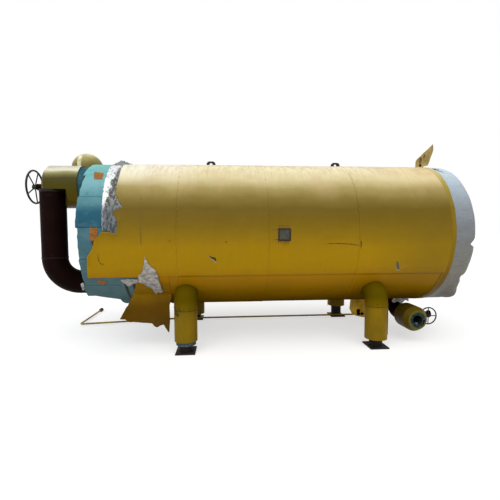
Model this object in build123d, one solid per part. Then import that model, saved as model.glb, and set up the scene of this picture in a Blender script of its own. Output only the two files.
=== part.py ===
from build123d import *
import math
import os

os.makedirs("parts", exist_ok=True)

# Horizontal insulated pressure tank on four elbow-topped pipe legs, with torn jacketing.
# Millimetres, +X along the tank, +Z up; built about the tank axis, set on its feet at the end.

# Driving sizes of the tank
JACKET_RADIUS = 1000.0
BELLY_HEIGHT = 468.0
INSULATION = 150.0
VESSEL_WALL = 12.0
LEFT_TANGENT_X = 330.0
HEAD_COVER_REACH = 198.0
HEAD_KNUCKLE = 90.0
HEAD_CROWN_ANGLE = 24.0
CAVITY_GAP = 20.0
CAVITY_KNUCKLE = 262.0
CAVITY_CROWN_ANGLE = 32.4
LEFT_CAP_RISE = 245.0

# Sheet metal, membranes and running fits
SHEET = 2.0
MEMBRANE = 3.0
FOIL = 1.5
FIT = 0.3
OVERRUN = 40.0

# Jacket courses
FIRST_SEAM_X = 1140.0
COURSE_WIDTH = 1125.0
JACKET_END_X = 4660.0
TRIM_WIDTH = 60.0
LAP = 50.0
LAP_ANGLE = -28.0
BACK_LAP_ANGLE = 208.0

# Foam blocks round the torn left end
RING_LENGTH = 420.0
BLOCK_COUNT = 16
BLOCK_JOINT = 3.0
FIRST_JOINT_ANGLE = 6.0

# Legs and feet
LEG_PAST_SEAM = 85.0
LEG_END_INSET = 958.0
LEG_INSET = 32.0
LEG_PIPE_RADIUS = 84.15
LEG_PIPE_WALL = 7.1
LEG_JACKET_RADIUS = 143.5
LEG_THROAT = 6.5
LEG_RUN_RISE = 115.0
LEG_SEAM_LIP = 3.0
LEG_SEAM_WIDTH = 14.0
FOOT_LENGTH = 245.0
FOOT_WIDTH = 285.0
FOOT_THICKNESS = 18.0
SHORT_SLEEVE_GAP = 190.0
FRONT_LEFT_SLEEVE_GAP = 146.0
FRONT_RIGHT_SLEEVE_GAP = 110.0
BACK_LEFT_SLEEVE_GAP = 95.0
COLLAR_RADIUS = 124.0
COLLAR_DROP = 50.0
SLEEVE_CUT_ANGLE = 16.0

# Lifting lugs and nameplate
LUG_LEFT_X = 1534.0
LUG_WIDTH = 130.0
LUG_THICKNESS = 30.0
LUG_HEIGHT = 64.0
LUG_HOLE_RADIUS = 22.0
PLATE_X = 2450.0
PLATE_WIDTH = 124.0
PLATE_HEIGHT = 124.0
PLATE_Z = 12.0
PLATE_FRAME = 15.0
PLATE_RECESS = 6.0
PLATE_THICKNESS = 2.0
PLATE_FRAME_DEPTH = 14.0

# Upper left angle valve with its jacket, nozzle and handwheel
VALVE_Y = -150.0
VALVE_DROP = 187.0
VALVE_JACKET_RADIUS = 290.0
VALVE_JACKET_LEFT_X = -665.0
VALVE_JACKET_RIGHT_X = -205.0
VALVE_JACKET_BEVEL = 34.0
NOZZLE_RADIUS = 109.55
NOZZLE_WALL = 8.2
NOZZLE_FOAM_RADIUS = 275.0
NOZZLE_GRIP = 80.0
RISER_X = -582.0
RISER_Y = -275.0
RISER_RADIUS = 161.95
RISER_WALL = 9.5
RISER_TOP_DROP = 51.0
RISER_NOTCH = 75.0
RISER_RUN_RISE = 185.0
RISER_BEND_RADIUS = 360.0
RISER_TAIL = 20.0
RUN_ANGLE = 32.0
BRANCH_RADIUS = 136.5
BRANCH_WALL = 9.3
BRANCH_REACH = 950.0
BACK_PIPE_X = -410.0
BACK_PIPE_RADIUS = 231.0
BACK_PIPE_THROAT = 8.0
BACK_PIPE_REACH = 680.0
BACK_PIPE_RISE = 364.0

# Left handwheel
LEFT_WHEEL_X = -872.0
LEFT_WHEEL_TURN = 24.0
LEFT_WHEEL_RADIUS = 235.0
LEFT_RIM_RADIUS = 13.0
LEFT_SPOKES = 5
LEFT_SPOKE_RADIUS = 8.0
LEFT_HUB_RADIUS = 34.0
LEFT_HUB_LENGTH = 50.0
LEFT_STEM_RADIUS = 14.0
LEFT_BONNET_RADIUS = 44.0
LEFT_BONNET_GAP = 7.0
STEM_END = 12.0
STEM_CLEARANCE = 0.5
RIM_SIDES = 12

# Outlet elbow under the right end
OUTLET_INSET = 360.0
OUTLET_Y = -120.0
OUTLET_DROP = 149.0
OUTLET_BEND_RADIUS = 145.0
OUTLET_RADIUS = 69.85
OUTLET_WALL = 6.3
OUTLET_ELBOW_RADIUS = 110.0
OUTLET_END_Y = -775.0
OUTLET_JACKET_RADIUS = 170.0
OUTLET_JACKET_BACK_Y = -460.0
OUTLET_JACKET_FRONT_Y = -700.0
OUTLET_CONE_Y = -780.0
OUTLET_CONE_RADIUS = 126.0
OUTLET_FOAM = 33.65

# Side valve and right handwheel
SIDE_Y = -320.0
SIDE_DROP = 183.0
SIDE_VALVE_REACH = 352.0
SIDE_PIPE_RADIUS = 30.15
SIDE_PIPE_WALL = 4.0
SIDE_PIPE_REACH = 440.0
SIDE_BODY_RADIUS = 46.0
SIDE_CAP_RADIUS = 52.0
SIDE_CAP_LENGTH = 22.0
SIDE_BONNET_RADIUS = 30.0
RIGHT_WHEEL_Y = -440.0
RIGHT_WHEEL_RADIUS = 128.0
RIGHT_RIM_RADIUS = 9.0
RIGHT_SPOKES = 4
RIGHT_SPOKE_RADIUS = 6.5
RIGHT_HUB_RADIUS = 22.0
RIGHT_HUB_LENGTH = 30.0
RIGHT_STEM_RADIUS = 9.0
RIGHT_BONNET_GAP = 7.0

# Sump under the tank and the drain line that leaves it along the ground
SUMP_INSET = 710.0
SUMP_Y = 60.0
SUMP_PIPE_RADIUS = 109.55
SUMP_PIPE_WALL = 8.2
SUMP_TOP_RADIUS = 235.0
SUMP_RADIUS = 265.0
SUMP_FLOOR_RADIUS = 230.0
SUMP_DEPTH = 190.0
SUMP_BEVEL_DEPTH = 75.0
SUMP_FLOOR = 6.0
COUPLING_WIDTH = 44.0
COUPLING_HEIGHT = 96.0
COUPLING_REACH = 18.0
COUPLING_ANGLE = 50.0
COUPLING_STEP = 14.0
SMALL_COUPLING_RADIUS = 19.0
DRAIN_RADIUS = 14.0
DRAIN_SUMP_OFFSET = 200.0
DRAIN_LEFT_X = -590.0
DRAIN_LEFT_Y = 482.0
DRAIN_KNEE_X = 995.0
DRAIN_LEG_GAP = 4.0
DRAIN_KNEE_RADIUS = 3000.0
DRAIN_ARM_LENGTH = 940.0
DRAIN_BEND_RADIUS = 42.0
DRAIN_CAP_LENGTH = 60.0
CLAMP_WIDTH = 46.0
CLAMP_THICKNESS = 5.0

# Torn pieces
FLAP_Y = -640.0
FLAP_ANGLE_TOP = -31.0
STRAP_WIDTH = 34.0
STRAP_THICKNESS = 2.0
STRAP_START_ANGLE = -78.0
STRAP_END_ANGLE = -33.0
LIFTED_ANGLE = 78.0
SCRAP_ANGLE = 17.0
MEMBRANE_LOW_ANGLE = -60.0

# Outlines of torn sheets: shares of the first course along the tank, of the jacket radius upwards
TORN_EDGE_SHARES = [
    (-0.0877, 1.1), (0.2895, 1.1), (0.2895, 0.985), (0.3509, 0.74), (0.3684, 0.6),
    (0.3702, 0.486), (0.4316, 0.382), (0.45, 0.343), (0.3526, 0.297), (0.407, 0.18),
    (0.4, 0.028), (0.2526, 0.045), (0.1772, -0.043), (0.1421, -0.151), (0.0947, -0.232),
    (0.0746, -0.329), (0.0605, -0.43), (0.0482, -0.546), (0.1035, -0.539), (0.1281, -0.508),
    (0.1544, -0.548), (0.1754, -1.1), (-0.0877, -1.1),
]
TORN_BACK_SHARES = [
    (-0.0877, 1.1), (0.2895, 1.1), (0.3158, 0.9), (0.3772, 0.62), (0.3421, 0.3), (0.4035, 0.05),
    (0.3596, -0.28), (0.386, -1.1), (-0.0877, -1.1),
]
TORN_LOWER_SHARES = [
    (-0.0877, -0.3), (0.8772, -0.3), (0.8772, -0.72), (0.8509, -0.86), (0.8947, -1.1),
    (-0.0877, -1.1),
]
TORN_LOWER_BACK_SHARES = [
    (-0.0877, -0.3), (0.5439, -0.3), (0.614, -0.6), (0.7368, -0.8), (0.8947, -1.1),
    (-0.0877, -1.1),
]
FOIL_SHARES = [
    (0.1895, 1.1), (0.1895, 0.985), (0.2149, 0.78), (0.2281, 0.608), (0.2439, 0.34),
    (0.2456, 0.172), (0.2535, 0.055), (0.2895, 0.075), (0.3509, 0.05), (0.4737, 0.06),
    (0.4737, 1.1),
]
FOIL_BACK_SHARES = [
    (0.1895, 1.1), (0.2105, 0.8), (0.1754, 0.5), (0.2368, 0.2), (0.2193, 0.05), (0.4737, 0.05),
    (0.4737, 1.1),
]
MEMBRANE_SHARES = [
    (0.6737, -0.241), (0.7018, -0.33), (0.7763, -0.411), (0.8026, -0.6), (0.8149, -0.712),
    (0.7895, -0.735), (0.7632, -0.72), (0.7325, -0.75), (0.7018, -0.665), (0.6316, -0.6),
    (0.5746, -0.562), (0.5877, -0.48), (0.6316, -0.43),
]
FLAP_SHARES = [
    (0.5746, -0.5), (0.5263, -0.64), (0.4386, -0.838), (0.3658, -0.986), (0.3158, -1.082),
    (0.3684, -1.085), (0.4219, -1.121), (0.6833, -1.146), (0.7325, -1.195), (0.8053, -1.167),
    (0.8684, -1.298), (0.8772, -1.1), (0.8728, -0.911), (0.8728, -0.5),
]
# Outlines at the right end: shares of the last course counted from its end, and of the jacket radius
LIFTED_SHARES = [
    (-0.1031, 0.94), (-0.1031, 0.983), (-0.0898, 1.08), (-0.0118, 1.192), (0.0906, 1.313),
    (0.0937, 1.23), (0.0858, 1.16), (0.0724, 1.069), (0.0512, 1.005), (0.0, 0.99), (-0.0157, 0.94),
]
SCRAP_SHARES = [
    (-0.3701, -0.9), (-0.3858, -0.985), (-0.3622, -1.02), (-0.3228, -0.99), (-0.2756, -1.03),
    (-0.2205, -0.98), (-0.1811, -1), (-0.189, -0.9),
]
SLIT_SHARES = [
    (-0.5961, -0.332), (-0.5748, -0.36), (-0.5591, -0.42), (-0.5441, -0.441), (-0.5669, -0.44),
    (-0.5906, -0.4),
]
# Left end of each foam block, as a share of the ring's length: ahead of the shell or broken back
BLOCK_END_SHARES = [
    -0.06, -0.04, -0.11, -0.148, -0.12, -0.06, -0.1, -0.03, -0.07, 0.02, 0.35, 0.72, 0.78, -0.1,
    -0.02, -0.005,
]

# Sizes that follow from the driving ones
GROUND_Z = -JACKET_RADIUS - BELLY_HEIGHT
VESSEL_RADIUS = JACKET_RADIUS - INSULATION
HEAD_DEPTH = VESSEL_RADIUS / 2
LAYER = SHEET + FIT
FOAM_RADIUS = JACKET_RADIUS - 4 * LAYER
SHELL_FOAM_END_X = JACKET_END_X - 2 * LAP
RIGHT_TANGENT_X = SHELL_FOAM_END_X
HEAD_COVER_X = JACKET_END_X + HEAD_COVER_REACH
SEAM_XS = [FIRST_SEAM_X + n * COURSE_WIDTH for n in range(3)]
LAST_COURSE = JACKET_END_X - SEAM_XS[2]
LUG_RIGHT_X = SEAM_XS[2]
LEG_LEFT_X = FIRST_SEAM_X + LEG_PAST_SEAM
LEG_RIGHT_X = JACKET_END_X - LEG_END_INSET
LEG_REACH = VESSEL_RADIUS - LEG_INSET
LEG_RUN_Z = LEG_RUN_RISE - VESSEL_RADIUS
LEG_BEND_RADIUS = LEG_JACKET_RADIUS + LEG_THROAT
VALVE_Z = VESSEL_RADIUS - VALVE_DROP
RISER_TOP_Z = VALVE_Z - RISER_TOP_DROP
RISER_RUN_Z = RISER_RUN_RISE - VESSEL_RADIUS
OUTLET_X = JACKET_END_X - OUTLET_INSET
OUTLET_Z = -JACKET_RADIUS - OUTLET_DROP
SIDE_Z = -JACKET_RADIUS - SIDE_DROP
SIDE_VALVE_X = OUTLET_X + SIDE_VALVE_REACH
SIDE_PIPE_END_X = OUTLET_X + SIDE_PIPE_REACH
SUMP_X = JACKET_END_X - SUMP_INSET
SUMP_WIDE_Z = -JACKET_RADIUS - SUMP_DEPTH
SUMP_BOTTOM_Z = SUMP_WIDE_Z - SUMP_BEVEL_DEPTH
DRAIN_LINE_Y = LEG_REACH - LEG_PIPE_RADIUS - DRAIN_RADIUS - DRAIN_LEG_GAP
DRAIN_Z = GROUND_Z + FOOT_THICKNESS + FIT + DRAIN_RADIUS
DRAIN_CAP_RADIUS = DRAIN_Z - GROUND_Z

parts = {}


def rod(start, end, radius):
    """A round bar between two points."""
    line = Line(start, end)
    return sweep(Plane(line @ 0, z_dir=line % 0) * Circle(radius), line)


def tube(start, end, radius, bore):
    """A round tube between two points, its bore cut right through."""
    line = Line(start, end)
    ring = Circle(radius) - Circle(bore)
    return sweep(Plane(line @ 0, z_dir=line % 0) * ring, line)


def bent_rod(points, bend, radius):
    """A round bar along straight runs joined by bends."""
    path = FilletPolyline(*points, radius=bend)
    return sweep(Plane(path @ 0, z_dir=path % 0) * Circle(radius), path)


def along_axis(x_from, x_to, radius):
    """A solid cylinder on the tank axis."""
    return rod((x_from, 0, 0), (x_to, 0, 0), radius)


def band(x_from, x_to, outer, thickness, low_angle, high_angle):
    """A rolled strip on the tank, angles counted up from the front."""
    strip = Rectangle(x_to - x_from, thickness, align=(Align.MIN, Align.MAX))
    strip = Pos(x_from, outer) * strip
    strip = strip.rotate(Axis.X, 180 - high_angle)
    return revolve(strip, Axis.X, revolution_arc=high_angle - low_angle)


def slab(shares, start, length, y_from, y_to):
    """A hand-drawn outline in the upright plane along the tank, given depth."""
    points = [(start + x * length, z * JACKET_RADIUS) for x, z in shares]
    face = Plane.XZ.offset(-y_from) * make_face(Polyline(*points, close=True))
    return extrude(face, y_from - y_to)


def front_slab(shares):
    """An outline that cuts the near half of the tank."""
    return slab(shares, 0, FIRST_SEAM_X, 0, -JACKET_RADIUS - OVERRUN)


def back_slab(shares):
    """An outline that cuts the far half of the tank."""
    return slab(shares, 0, FIRST_SEAM_X, JACKET_RADIUS + OVERRUN, 0)


def dome(tangent_x, radius, depth, side):
    """A solid half ellipsoid on the tank axis, bulging to the given side."""
    arc = EllipticalCenterArc((0, 0), depth, radius, start_angle=0, arc_size=90)
    face = make_face([arc, Line((0, radius), (0, 0)), Line((0, 0), (depth, 0))])
    half = revolve(face, Axis.X)
    if side < 0:
        half = half.rotate(Axis.Z, 180)
    return Pos(tangent_x, 0, 0) * half


def dished(start_x, bend_x, radius, knuckle, crown_angle):
    """A solid on the tank axis: a straight part, a round knuckle and a shallow crown."""
    angle = math.radians(crown_angle)
    crown = knuckle + (radius - knuckle) / math.sin(angle)
    crown_x = bend_x - (crown - knuckle) * math.cos(angle)
    corner = CenterArc((bend_x, radius - knuckle), knuckle, crown_angle, 90 - crown_angle)
    face = CenterArc((crown_x, 0), crown, 0, crown_angle)
    edges = [face, corner, Line(corner @ 1, (start_x, radius)), Line((start_x, radius), (start_x, 0)),
             Line((start_x, 0), face @ 0)]
    return revolve(make_face(edges), Axis.X)


def add(name, shape):
    """Keep a finished piece under its node name."""
    parts[name] = shape


# Vessel: rolled shell and two dished heads
vessel_bore = along_axis(LEFT_TANGENT_X - OVERRUN, RIGHT_TANGENT_X + OVERRUN, VESSEL_RADIUS - VESSEL_WALL)
add("vessel_shell", along_axis(LEFT_TANGENT_X, RIGHT_TANGENT_X, VESSEL_RADIUS) - vessel_bore)
left_head = dome(LEFT_TANGENT_X, VESSEL_RADIUS, HEAD_DEPTH, -1)
right_head = dome(RIGHT_TANGENT_X, VESSEL_RADIUS, HEAD_DEPTH, 1)
head_bore = VESSEL_RADIUS - VESSEL_WALL
add("vessel_left_head", left_head - dome(LEFT_TANGENT_X, head_bore, HEAD_DEPTH - VESSEL_WALL, -1))
add("vessel_right_head", right_head - dome(RIGHT_TANGENT_X, head_bore, HEAD_DEPTH - VESSEL_WALL, 1))
vessel_body = along_axis(LEFT_TANGENT_X, RIGHT_TANGENT_X, VESSEL_RADIUS + FIT)

# Legs: pipe elbows welded to the shell, jacketed, each on a square plate
leg_places = {
    "front_left": (LEG_LEFT_X, -1, FRONT_LEFT_SLEEVE_GAP),
    "front_right": (LEG_RIGHT_X, -1, FRONT_RIGHT_SLEEVE_GAP),
    "back_left": (LEG_LEFT_X, 1, BACK_LEFT_SLEEVE_GAP),
    "back_right": (LEG_RIGHT_X, 1, SHORT_SLEEVE_GAP),
}
plate_top = GROUND_Z + FOOT_THICKNESS
seam_z = LEG_RUN_Z - LEG_BEND_RADIUS
leg_rods = []
leg_pipes = []
foot_plates = []
leg_jackets = []
jacket_body = along_axis(0, JACKET_END_X, JACKET_RADIUS - 2 * LAYER + FIT)


def leg_path(x, side, bottom):
    """The centre line of a leg, from inside the shell out and down."""
    return [(x, 0, LEG_RUN_Z), (x, side * LEG_REACH, LEG_RUN_Z), (x, side * LEG_REACH, bottom)]


for leg, (x, side, gap) in leg_places.items():
    outer = bent_rod(leg_path(x, side, plate_top), LEG_BEND_RADIUS, LEG_PIPE_RADIUS)
    inner = bent_rod(leg_path(x, side, plate_top), LEG_BEND_RADIUS, LEG_PIPE_RADIUS - LEG_PIPE_WALL)
    leg_pipes.append(outer - inner - vessel_body)
    foot = Pos(x, side * LEG_REACH, GROUND_Z) * Box(
        FOOT_LENGTH, FOOT_WIDTH, FOOT_THICKNESS, align=(Align.CENTER, Align.CENTER, Align.MIN)
    )
    foot_plates.append(foot)
    sleeve = bent_rod(leg_path(x, side, GROUND_Z + gap), LEG_BEND_RADIUS, LEG_JACKET_RADIUS)
    lip = rod((x, side * LEG_REACH, seam_z - LEG_SEAM_WIDTH), (x, side * LEG_REACH, seam_z),
              LEG_JACKET_RADIUS + LEG_SEAM_LIP)
    clear = bent_rod(leg_path(x, side, plate_top), LEG_BEND_RADIUS, LEG_PIPE_RADIUS + FIT)
    sleeve = sleeve + lip - clear - jacket_body
    if leg == "back_right":
        # the sleeve is cut off at a slant
        corner = Pos(x + LEG_JACKET_RADIUS, side * LEG_REACH, GROUND_Z + gap)
        corner = corner * Rotation(0, -SLEEVE_CUT_ANGLE, 0)
        sleeve = sleeve - corner * Box(
            LEG_JACKET_RADIUS * 4, LEG_JACKET_RADIUS * 3, LEG_JACKET_RADIUS,
            align=(Align.CENTER, Align.CENTER, Align.MAX)
        )
    leg_jackets.append(sleeve)
    leg_rods.append(bent_rod(leg_path(x, side, plate_top), LEG_BEND_RADIUS, LEG_PIPE_RADIUS + FIT))
add("leg_pipes", leg_pipes)
add("leg_jackets", leg_jackets)
add("foot_plates", foot_plates)

# Foam collar that shows under the front left sleeve
collar_top = (LEG_LEFT_X, -LEG_REACH, GROUND_Z + FRONT_LEFT_SLEEVE_GAP)
collar_bottom = (LEG_LEFT_X, -LEG_REACH, GROUND_Z + FRONT_LEFT_SLEEVE_GAP - COLLAR_DROP)
foam_collars = [tube(collar_top, collar_bottom, COLLAR_RADIUS, LEG_PIPE_RADIUS + FIT)]

# Outlet pipe: down from the shell, forward to its open end
outlet_points = [(OUTLET_X, OUTLET_Y, 0), (OUTLET_X, OUTLET_Y, OUTLET_Z), (OUTLET_X, OUTLET_END_Y, OUTLET_Z)]
outlet_outer = bent_rod(outlet_points, OUTLET_BEND_RADIUS, OUTLET_RADIUS)
outlet_inner = bent_rod(outlet_points, OUTLET_BEND_RADIUS, OUTLET_RADIUS - OUTLET_WALL)
outlet_clear = bent_rod(outlet_points, OUTLET_BEND_RADIUS, OUTLET_RADIUS + FIT)
add("outlet_pipe", outlet_outer - outlet_inner - vessel_body)

# Dark sleeve round the outlet elbow, and the flared jacket with its foam at the open end
elbow_points = outlet_points[:2] + [(OUTLET_X, OUTLET_JACKET_BACK_Y + FIT, OUTLET_Z)]
elbow_body = bent_rod(elbow_points, OUTLET_BEND_RADIUS, OUTLET_ELBOW_RADIUS)
add("outlet_elbow_jacket", elbow_body - outlet_clear - jacket_body)
foam_radius = OUTLET_RADIUS + OUTLET_FOAM
outlet_back = (OUTLET_X, OUTLET_JACKET_BACK_Y, OUTLET_Z)
outlet_front = (OUTLET_X, OUTLET_END_Y, OUTLET_Z)
foam_collars.append(tube(outlet_back, outlet_front, foam_radius, OUTLET_RADIUS + FIT))
jacket_profile = make_face(Polyline(
    (foam_radius + FIT, OUTLET_JACKET_BACK_Y), (OUTLET_JACKET_RADIUS, OUTLET_JACKET_BACK_Y),
    (OUTLET_JACKET_RADIUS, OUTLET_JACKET_FRONT_Y), (OUTLET_CONE_RADIUS, OUTLET_CONE_Y),
    (foam_radius + FIT, OUTLET_CONE_Y), close=True,
))
add("outlet_jacket", Pos(OUTLET_X, 0, OUTLET_Z) * revolve(jacket_profile, Axis.Y))

# Sump: a pipe let down from the shell into a jacketed pot
sump_floor_z = SUMP_BOTTOM_Z + SUMP_FLOOR + FIT
sump_top = (SUMP_X, SUMP_Y, 0)
sump_clear = rod(sump_top, (SUMP_X, SUMP_Y, sump_floor_z - FIT), SUMP_PIPE_RADIUS + FIT)
sump_end = (SUMP_X, SUMP_Y, sump_floor_z)
sump_tube = tube(sump_top, sump_end, SUMP_PIPE_RADIUS, SUMP_PIPE_RADIUS - SUMP_PIPE_WALL)
add("sump_pipe", sump_tube - vessel_body)
pot_profile = make_face(Polyline(
    (0, GROUND_Z + BELLY_HEIGHT + INSULATION), (SUMP_TOP_RADIUS, GROUND_Z + BELLY_HEIGHT + INSULATION),
    (SUMP_RADIUS, SUMP_WIDE_Z), (SUMP_FLOOR_RADIUS, SUMP_BOTTOM_Z), (0, SUMP_BOTTOM_Z), close=True,
))
pot = Pos(SUMP_X, SUMP_Y, 0) * revolve(Plane.XZ * pot_profile, Axis.Z) - sump_clear - jacket_body

# Two couplings on the front of the pot
coupling_x = math.sin(math.radians(COUPLING_ANGLE))
coupling_y = math.cos(math.radians(COUPLING_ANGLE))
coupling_reach = SUMP_RADIUS + COUPLING_REACH
coupling_foot = (SUMP_X - coupling_reach * coupling_x, SUMP_Y - coupling_reach * coupling_y, SUMP_WIDE_Z)
coupling_face = Plane(coupling_foot, x_dir=(coupling_y, -coupling_x, 0),
                      z_dir=(-coupling_x, -coupling_y, 0))
oblong = Rotation(0, 0, 90) * SlotOverall(COUPLING_HEIGHT, COUPLING_WIDTH)
oblong_bar = extrude(coupling_face * oblong, -INSULATION / 2)
small_place = Pos(COUPLING_WIDTH + COUPLING_STEP, -COUPLING_STEP, 0)
small_bar = extrude(coupling_face * small_place * Circle(SMALL_COUPLING_RADIUS), -INSULATION / 2)
add("sump_couplings", [oblong_bar - pot, small_bar - pot])
add("sump_jacket", pot)

# Insulation: staves at the torn end, shell foam, foam caps on the heads
foam_bore = along_axis(-OVERRUN, SHELL_FOAM_END_X, VESSEL_RADIUS + FIT)
shell_foam = along_axis(RING_LENGTH + FIT, SHELL_FOAM_END_X, FOAM_RADIUS) - foam_bore
for clear in leg_rods + [outlet_clear, sump_clear]:
    shell_foam = shell_foam - clear

pitch = 360 / BLOCK_COUNT
joint_angle = math.degrees(BLOCK_JOINT / FOAM_RADIUS)
blocks = []
for n, share in enumerate(BLOCK_END_SHARES):
    low = FIRST_JOINT_ANGLE + n * pitch
    block = band(share * RING_LENGTH, RING_LENGTH, FOAM_RADIUS, FOAM_RADIUS - VESSEL_RADIUS - FIT,
                 low + joint_angle, low + pitch)
    blocks.append(block)
add("left_ring_blocks", blocks)

cap_sphere = (VESSEL_RADIUS ** 2 + LEFT_CAP_RISE ** 2) / (2 * LEFT_CAP_RISE)
left_head_clear = dome(LEFT_TANGENT_X, VESSEL_RADIUS, HEAD_DEPTH + FIT, -1)
cap_centre = cap_sphere - LEFT_CAP_RISE
cap_half = math.asin(VESSEL_RADIUS / cap_sphere) / 2
cap_middle = (cap_centre - cap_sphere * math.cos(cap_half), cap_sphere * math.sin(cap_half))
cap_arc = ThreePointArc((0, VESSEL_RADIUS), cap_middle, (-LEFT_CAP_RISE, 0))
cap_under = EllipticalCenterArc((LEFT_TANGENT_X, 0), HEAD_DEPTH + FIT, VESSEL_RADIUS,
                                start_angle=90, arc_size=90)
cap_edges = [cap_arc, cap_under, Line(cap_arc @ 0, cap_under @ 0), Line(cap_arc @ 1, cap_under @ 1)]
left_cap = revolve(make_face(cap_edges), Axis.X)

skin_start = SHELL_FOAM_END_X + FIT
cavity = dished(skin_start - OVERRUN, RIGHT_TANGENT_X + CAVITY_GAP, VESSEL_RADIUS + FIT, CAVITY_KNUCKLE,
                CAVITY_CROWN_ANGLE)
head_foam = dished(skin_start, HEAD_COVER_X, FOAM_RADIUS - MEMBRANE - FIT, HEAD_KNUCKLE - MEMBRANE - FIT,
                   HEAD_CROWN_ANGLE)
under_skin = dished(skin_start - OVERRUN, HEAD_COVER_X, FOAM_RADIUS - MEMBRANE, HEAD_KNUCKLE - MEMBRANE,
                    HEAD_CROWN_ANGLE)
add("right_head_insulation", head_foam - cavity)
head_skin = dished(skin_start, HEAD_COVER_X, FOAM_RADIUS, HEAD_KNUCKLE, HEAD_CROWN_ANGLE)
add("right_head_membrane", head_skin - under_skin)

# Lifting lugs stand on the shell and pass through the jacket
lugs = []
lug_slots = []
for x in (LUG_LEFT_X, LUG_RIGHT_X):
    lug_top = JACKET_RADIUS + LUG_HEIGHT
    outline = Pos(x, lug_top / 2) * Rectangle(LUG_WIDTH, lug_top)
    outline = fillet(outline.vertices().group_by(Axis.Y)[-1], LUG_WIDTH / 3)
    eye = Pos(x, lug_top - LUG_WIDTH / 3) * Circle(LUG_HOLE_RADIUS)
    lug = extrude(Plane.XZ.offset(-LUG_THICKNESS / 2) * (outline - eye), LUG_THICKNESS)
    lugs.append(lug - vessel_body)
    slot = Pos(x, 0, lug_top / 2) * Box(LUG_WIDTH + 2 * FIT, LUG_THICKNESS + 2 * FIT, lug_top)
    lug_slots.append(slot)
    shell_foam = shell_foam - slot
add("lifting_lugs", lugs)

# Nameplate in its frame, let into the jacket
frame_width = PLATE_WIDTH + 2 * PLATE_FRAME
frame_height = PLATE_HEIGHT + 2 * PLATE_FRAME
frame_front = -JACKET_RADIUS - SHEET
frame_back = frame_front + PLATE_FRAME_DEPTH
frame_centre = Pos(PLATE_X, (frame_front + frame_back) / 2, PLATE_Z)
frame_outer = frame_centre * Box(frame_width, PLATE_FRAME_DEPTH, frame_height)
frame_inner = frame_centre * Box(PLATE_WIDTH, PLATE_FRAME_DEPTH + OVERRUN, PLATE_HEIGHT)
add("nameplate_frame", frame_outer - frame_inner)
plate_centre = Pos(PLATE_X, frame_front + PLATE_RECESS, PLATE_Z)
add("nameplate", plate_centre * Box(PLATE_WIDTH - 2 * FIT, PLATE_THICKNESS, PLATE_HEIGHT - 2 * FIT))
window = frame_centre * Box(frame_width + 2 * FIT, PLATE_FRAME_DEPTH + 2 * FIT, frame_height + 2 * FIT)
shell_foam = shell_foam - window
add("shell_insulation", shell_foam)

# Jacket courses: an upper and a lower sheet each, lapped by turns over and under the next
upper_outer = [JACKET_RADIUS - LAYER, JACKET_RADIUS, JACKET_RADIUS - LAYER, JACKET_RADIUS]
starts = [0, SEAM_XS[0], SEAM_XS[1] - LAP, SEAM_XS[2]]
ends = [SEAM_XS[0] + LAP, SEAM_XS[1], SEAM_XS[2] + LAP, JACKET_END_X - TRIM_WIDTH]
lap_turn = math.degrees(LAP / JACKET_RADIUS)
torn_upper = front_slab(TORN_EDGE_SHARES) + back_slab(TORN_BACK_SHARES)
torn_lower = front_slab(TORN_LOWER_SHARES) + back_slab(TORN_LOWER_BACK_SHARES)
for n in range(len(starts)):
    upper = band(starts[n], ends[n], upper_outer[n], SHEET, LAP_ANGLE - lap_turn, BACK_LAP_ANGLE + lap_turn)
    lower = band(starts[n], ends[n], upper_outer[n] - 2 * LAYER, SHEET, BACK_LAP_ANGLE - 360, LAP_ANGLE)
    if n == 0:
        upper = upper - torn_upper
        lower = lower - torn_lower
    if n == 3:
        upper = upper - slab(SLIT_SHARES, JACKET_END_X, LAST_COURSE, 0, -JACKET_RADIUS - OVERRUN)
    for cut in lug_slots + [window]:
        upper = upper - cut
    for cut in leg_rods + [outlet_clear, sump_clear]:
        lower = lower - cut
    add("jacket_course_%d" % (n + 1), [upper, lower])
trim_start = JACKET_END_X - TRIM_WIDTH - LAP
trim_ring = along_axis(trim_start, JACKET_END_X, JACKET_RADIUS - LAYER)
add("jacket_trim", trim_ring - along_axis(0, JACKET_END_X + OVERRUN, JACKET_RADIUS - LAYER - SHEET))

# Foil vapour barrier that shows at the tear
foil_upper = band(0, FIRST_SEAM_X, FOAM_RADIUS + FIT + FOIL, FOIL, 0, 180)
foil_keep = front_slab(FOIL_SHARES) + back_slab(FOIL_BACK_SHARES)
add("foil_barrier", foil_upper & foil_keep)

# Torn white membrane over the tear, and the peeled lower sheet that hangs from it
white = band(0, FIRST_SEAM_X, JACKET_RADIUS - LAYER + FIT + MEMBRANE, MEMBRANE,
             MEMBRANE_LOW_ANGLE, 0)
torn_membranes = [white & front_slab(MEMBRANE_SHARES)]

drop_angle = math.degrees(math.asin(-math.sqrt(1 - (FLAP_Y / JACKET_RADIUS) ** 2)))
flap_outer = JACKET_RADIUS - 2 * LAYER
flap_z = -math.sqrt(flap_outer ** 2 - FLAP_Y ** 2)
rolled = band(0, FIRST_SEAM_X, flap_outer, SHEET, drop_angle, FLAP_ANGLE_TOP)
hanging = Pos(0, FLAP_Y, flap_z) * Box(
    FIRST_SEAM_X, SHEET, JACKET_RADIUS, align=(Align.MIN, Align.MIN, Align.MAX)
)
add("hanging_flap", (rolled + hanging) & front_slab(FLAP_SHARES))

# Corner of the last course bent up at the top
lifted_y = -JACKET_RADIUS * math.cos(math.radians(LIFTED_ANGLE))
lifted = slab(LIFTED_SHARES, JACKET_END_X, LAST_COURSE, lifted_y, lifted_y - SHEET)
add("lifted_flap", lifted - along_axis(0, JACKET_END_X + OVERRUN, JACKET_RADIUS + FIT))

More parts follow.
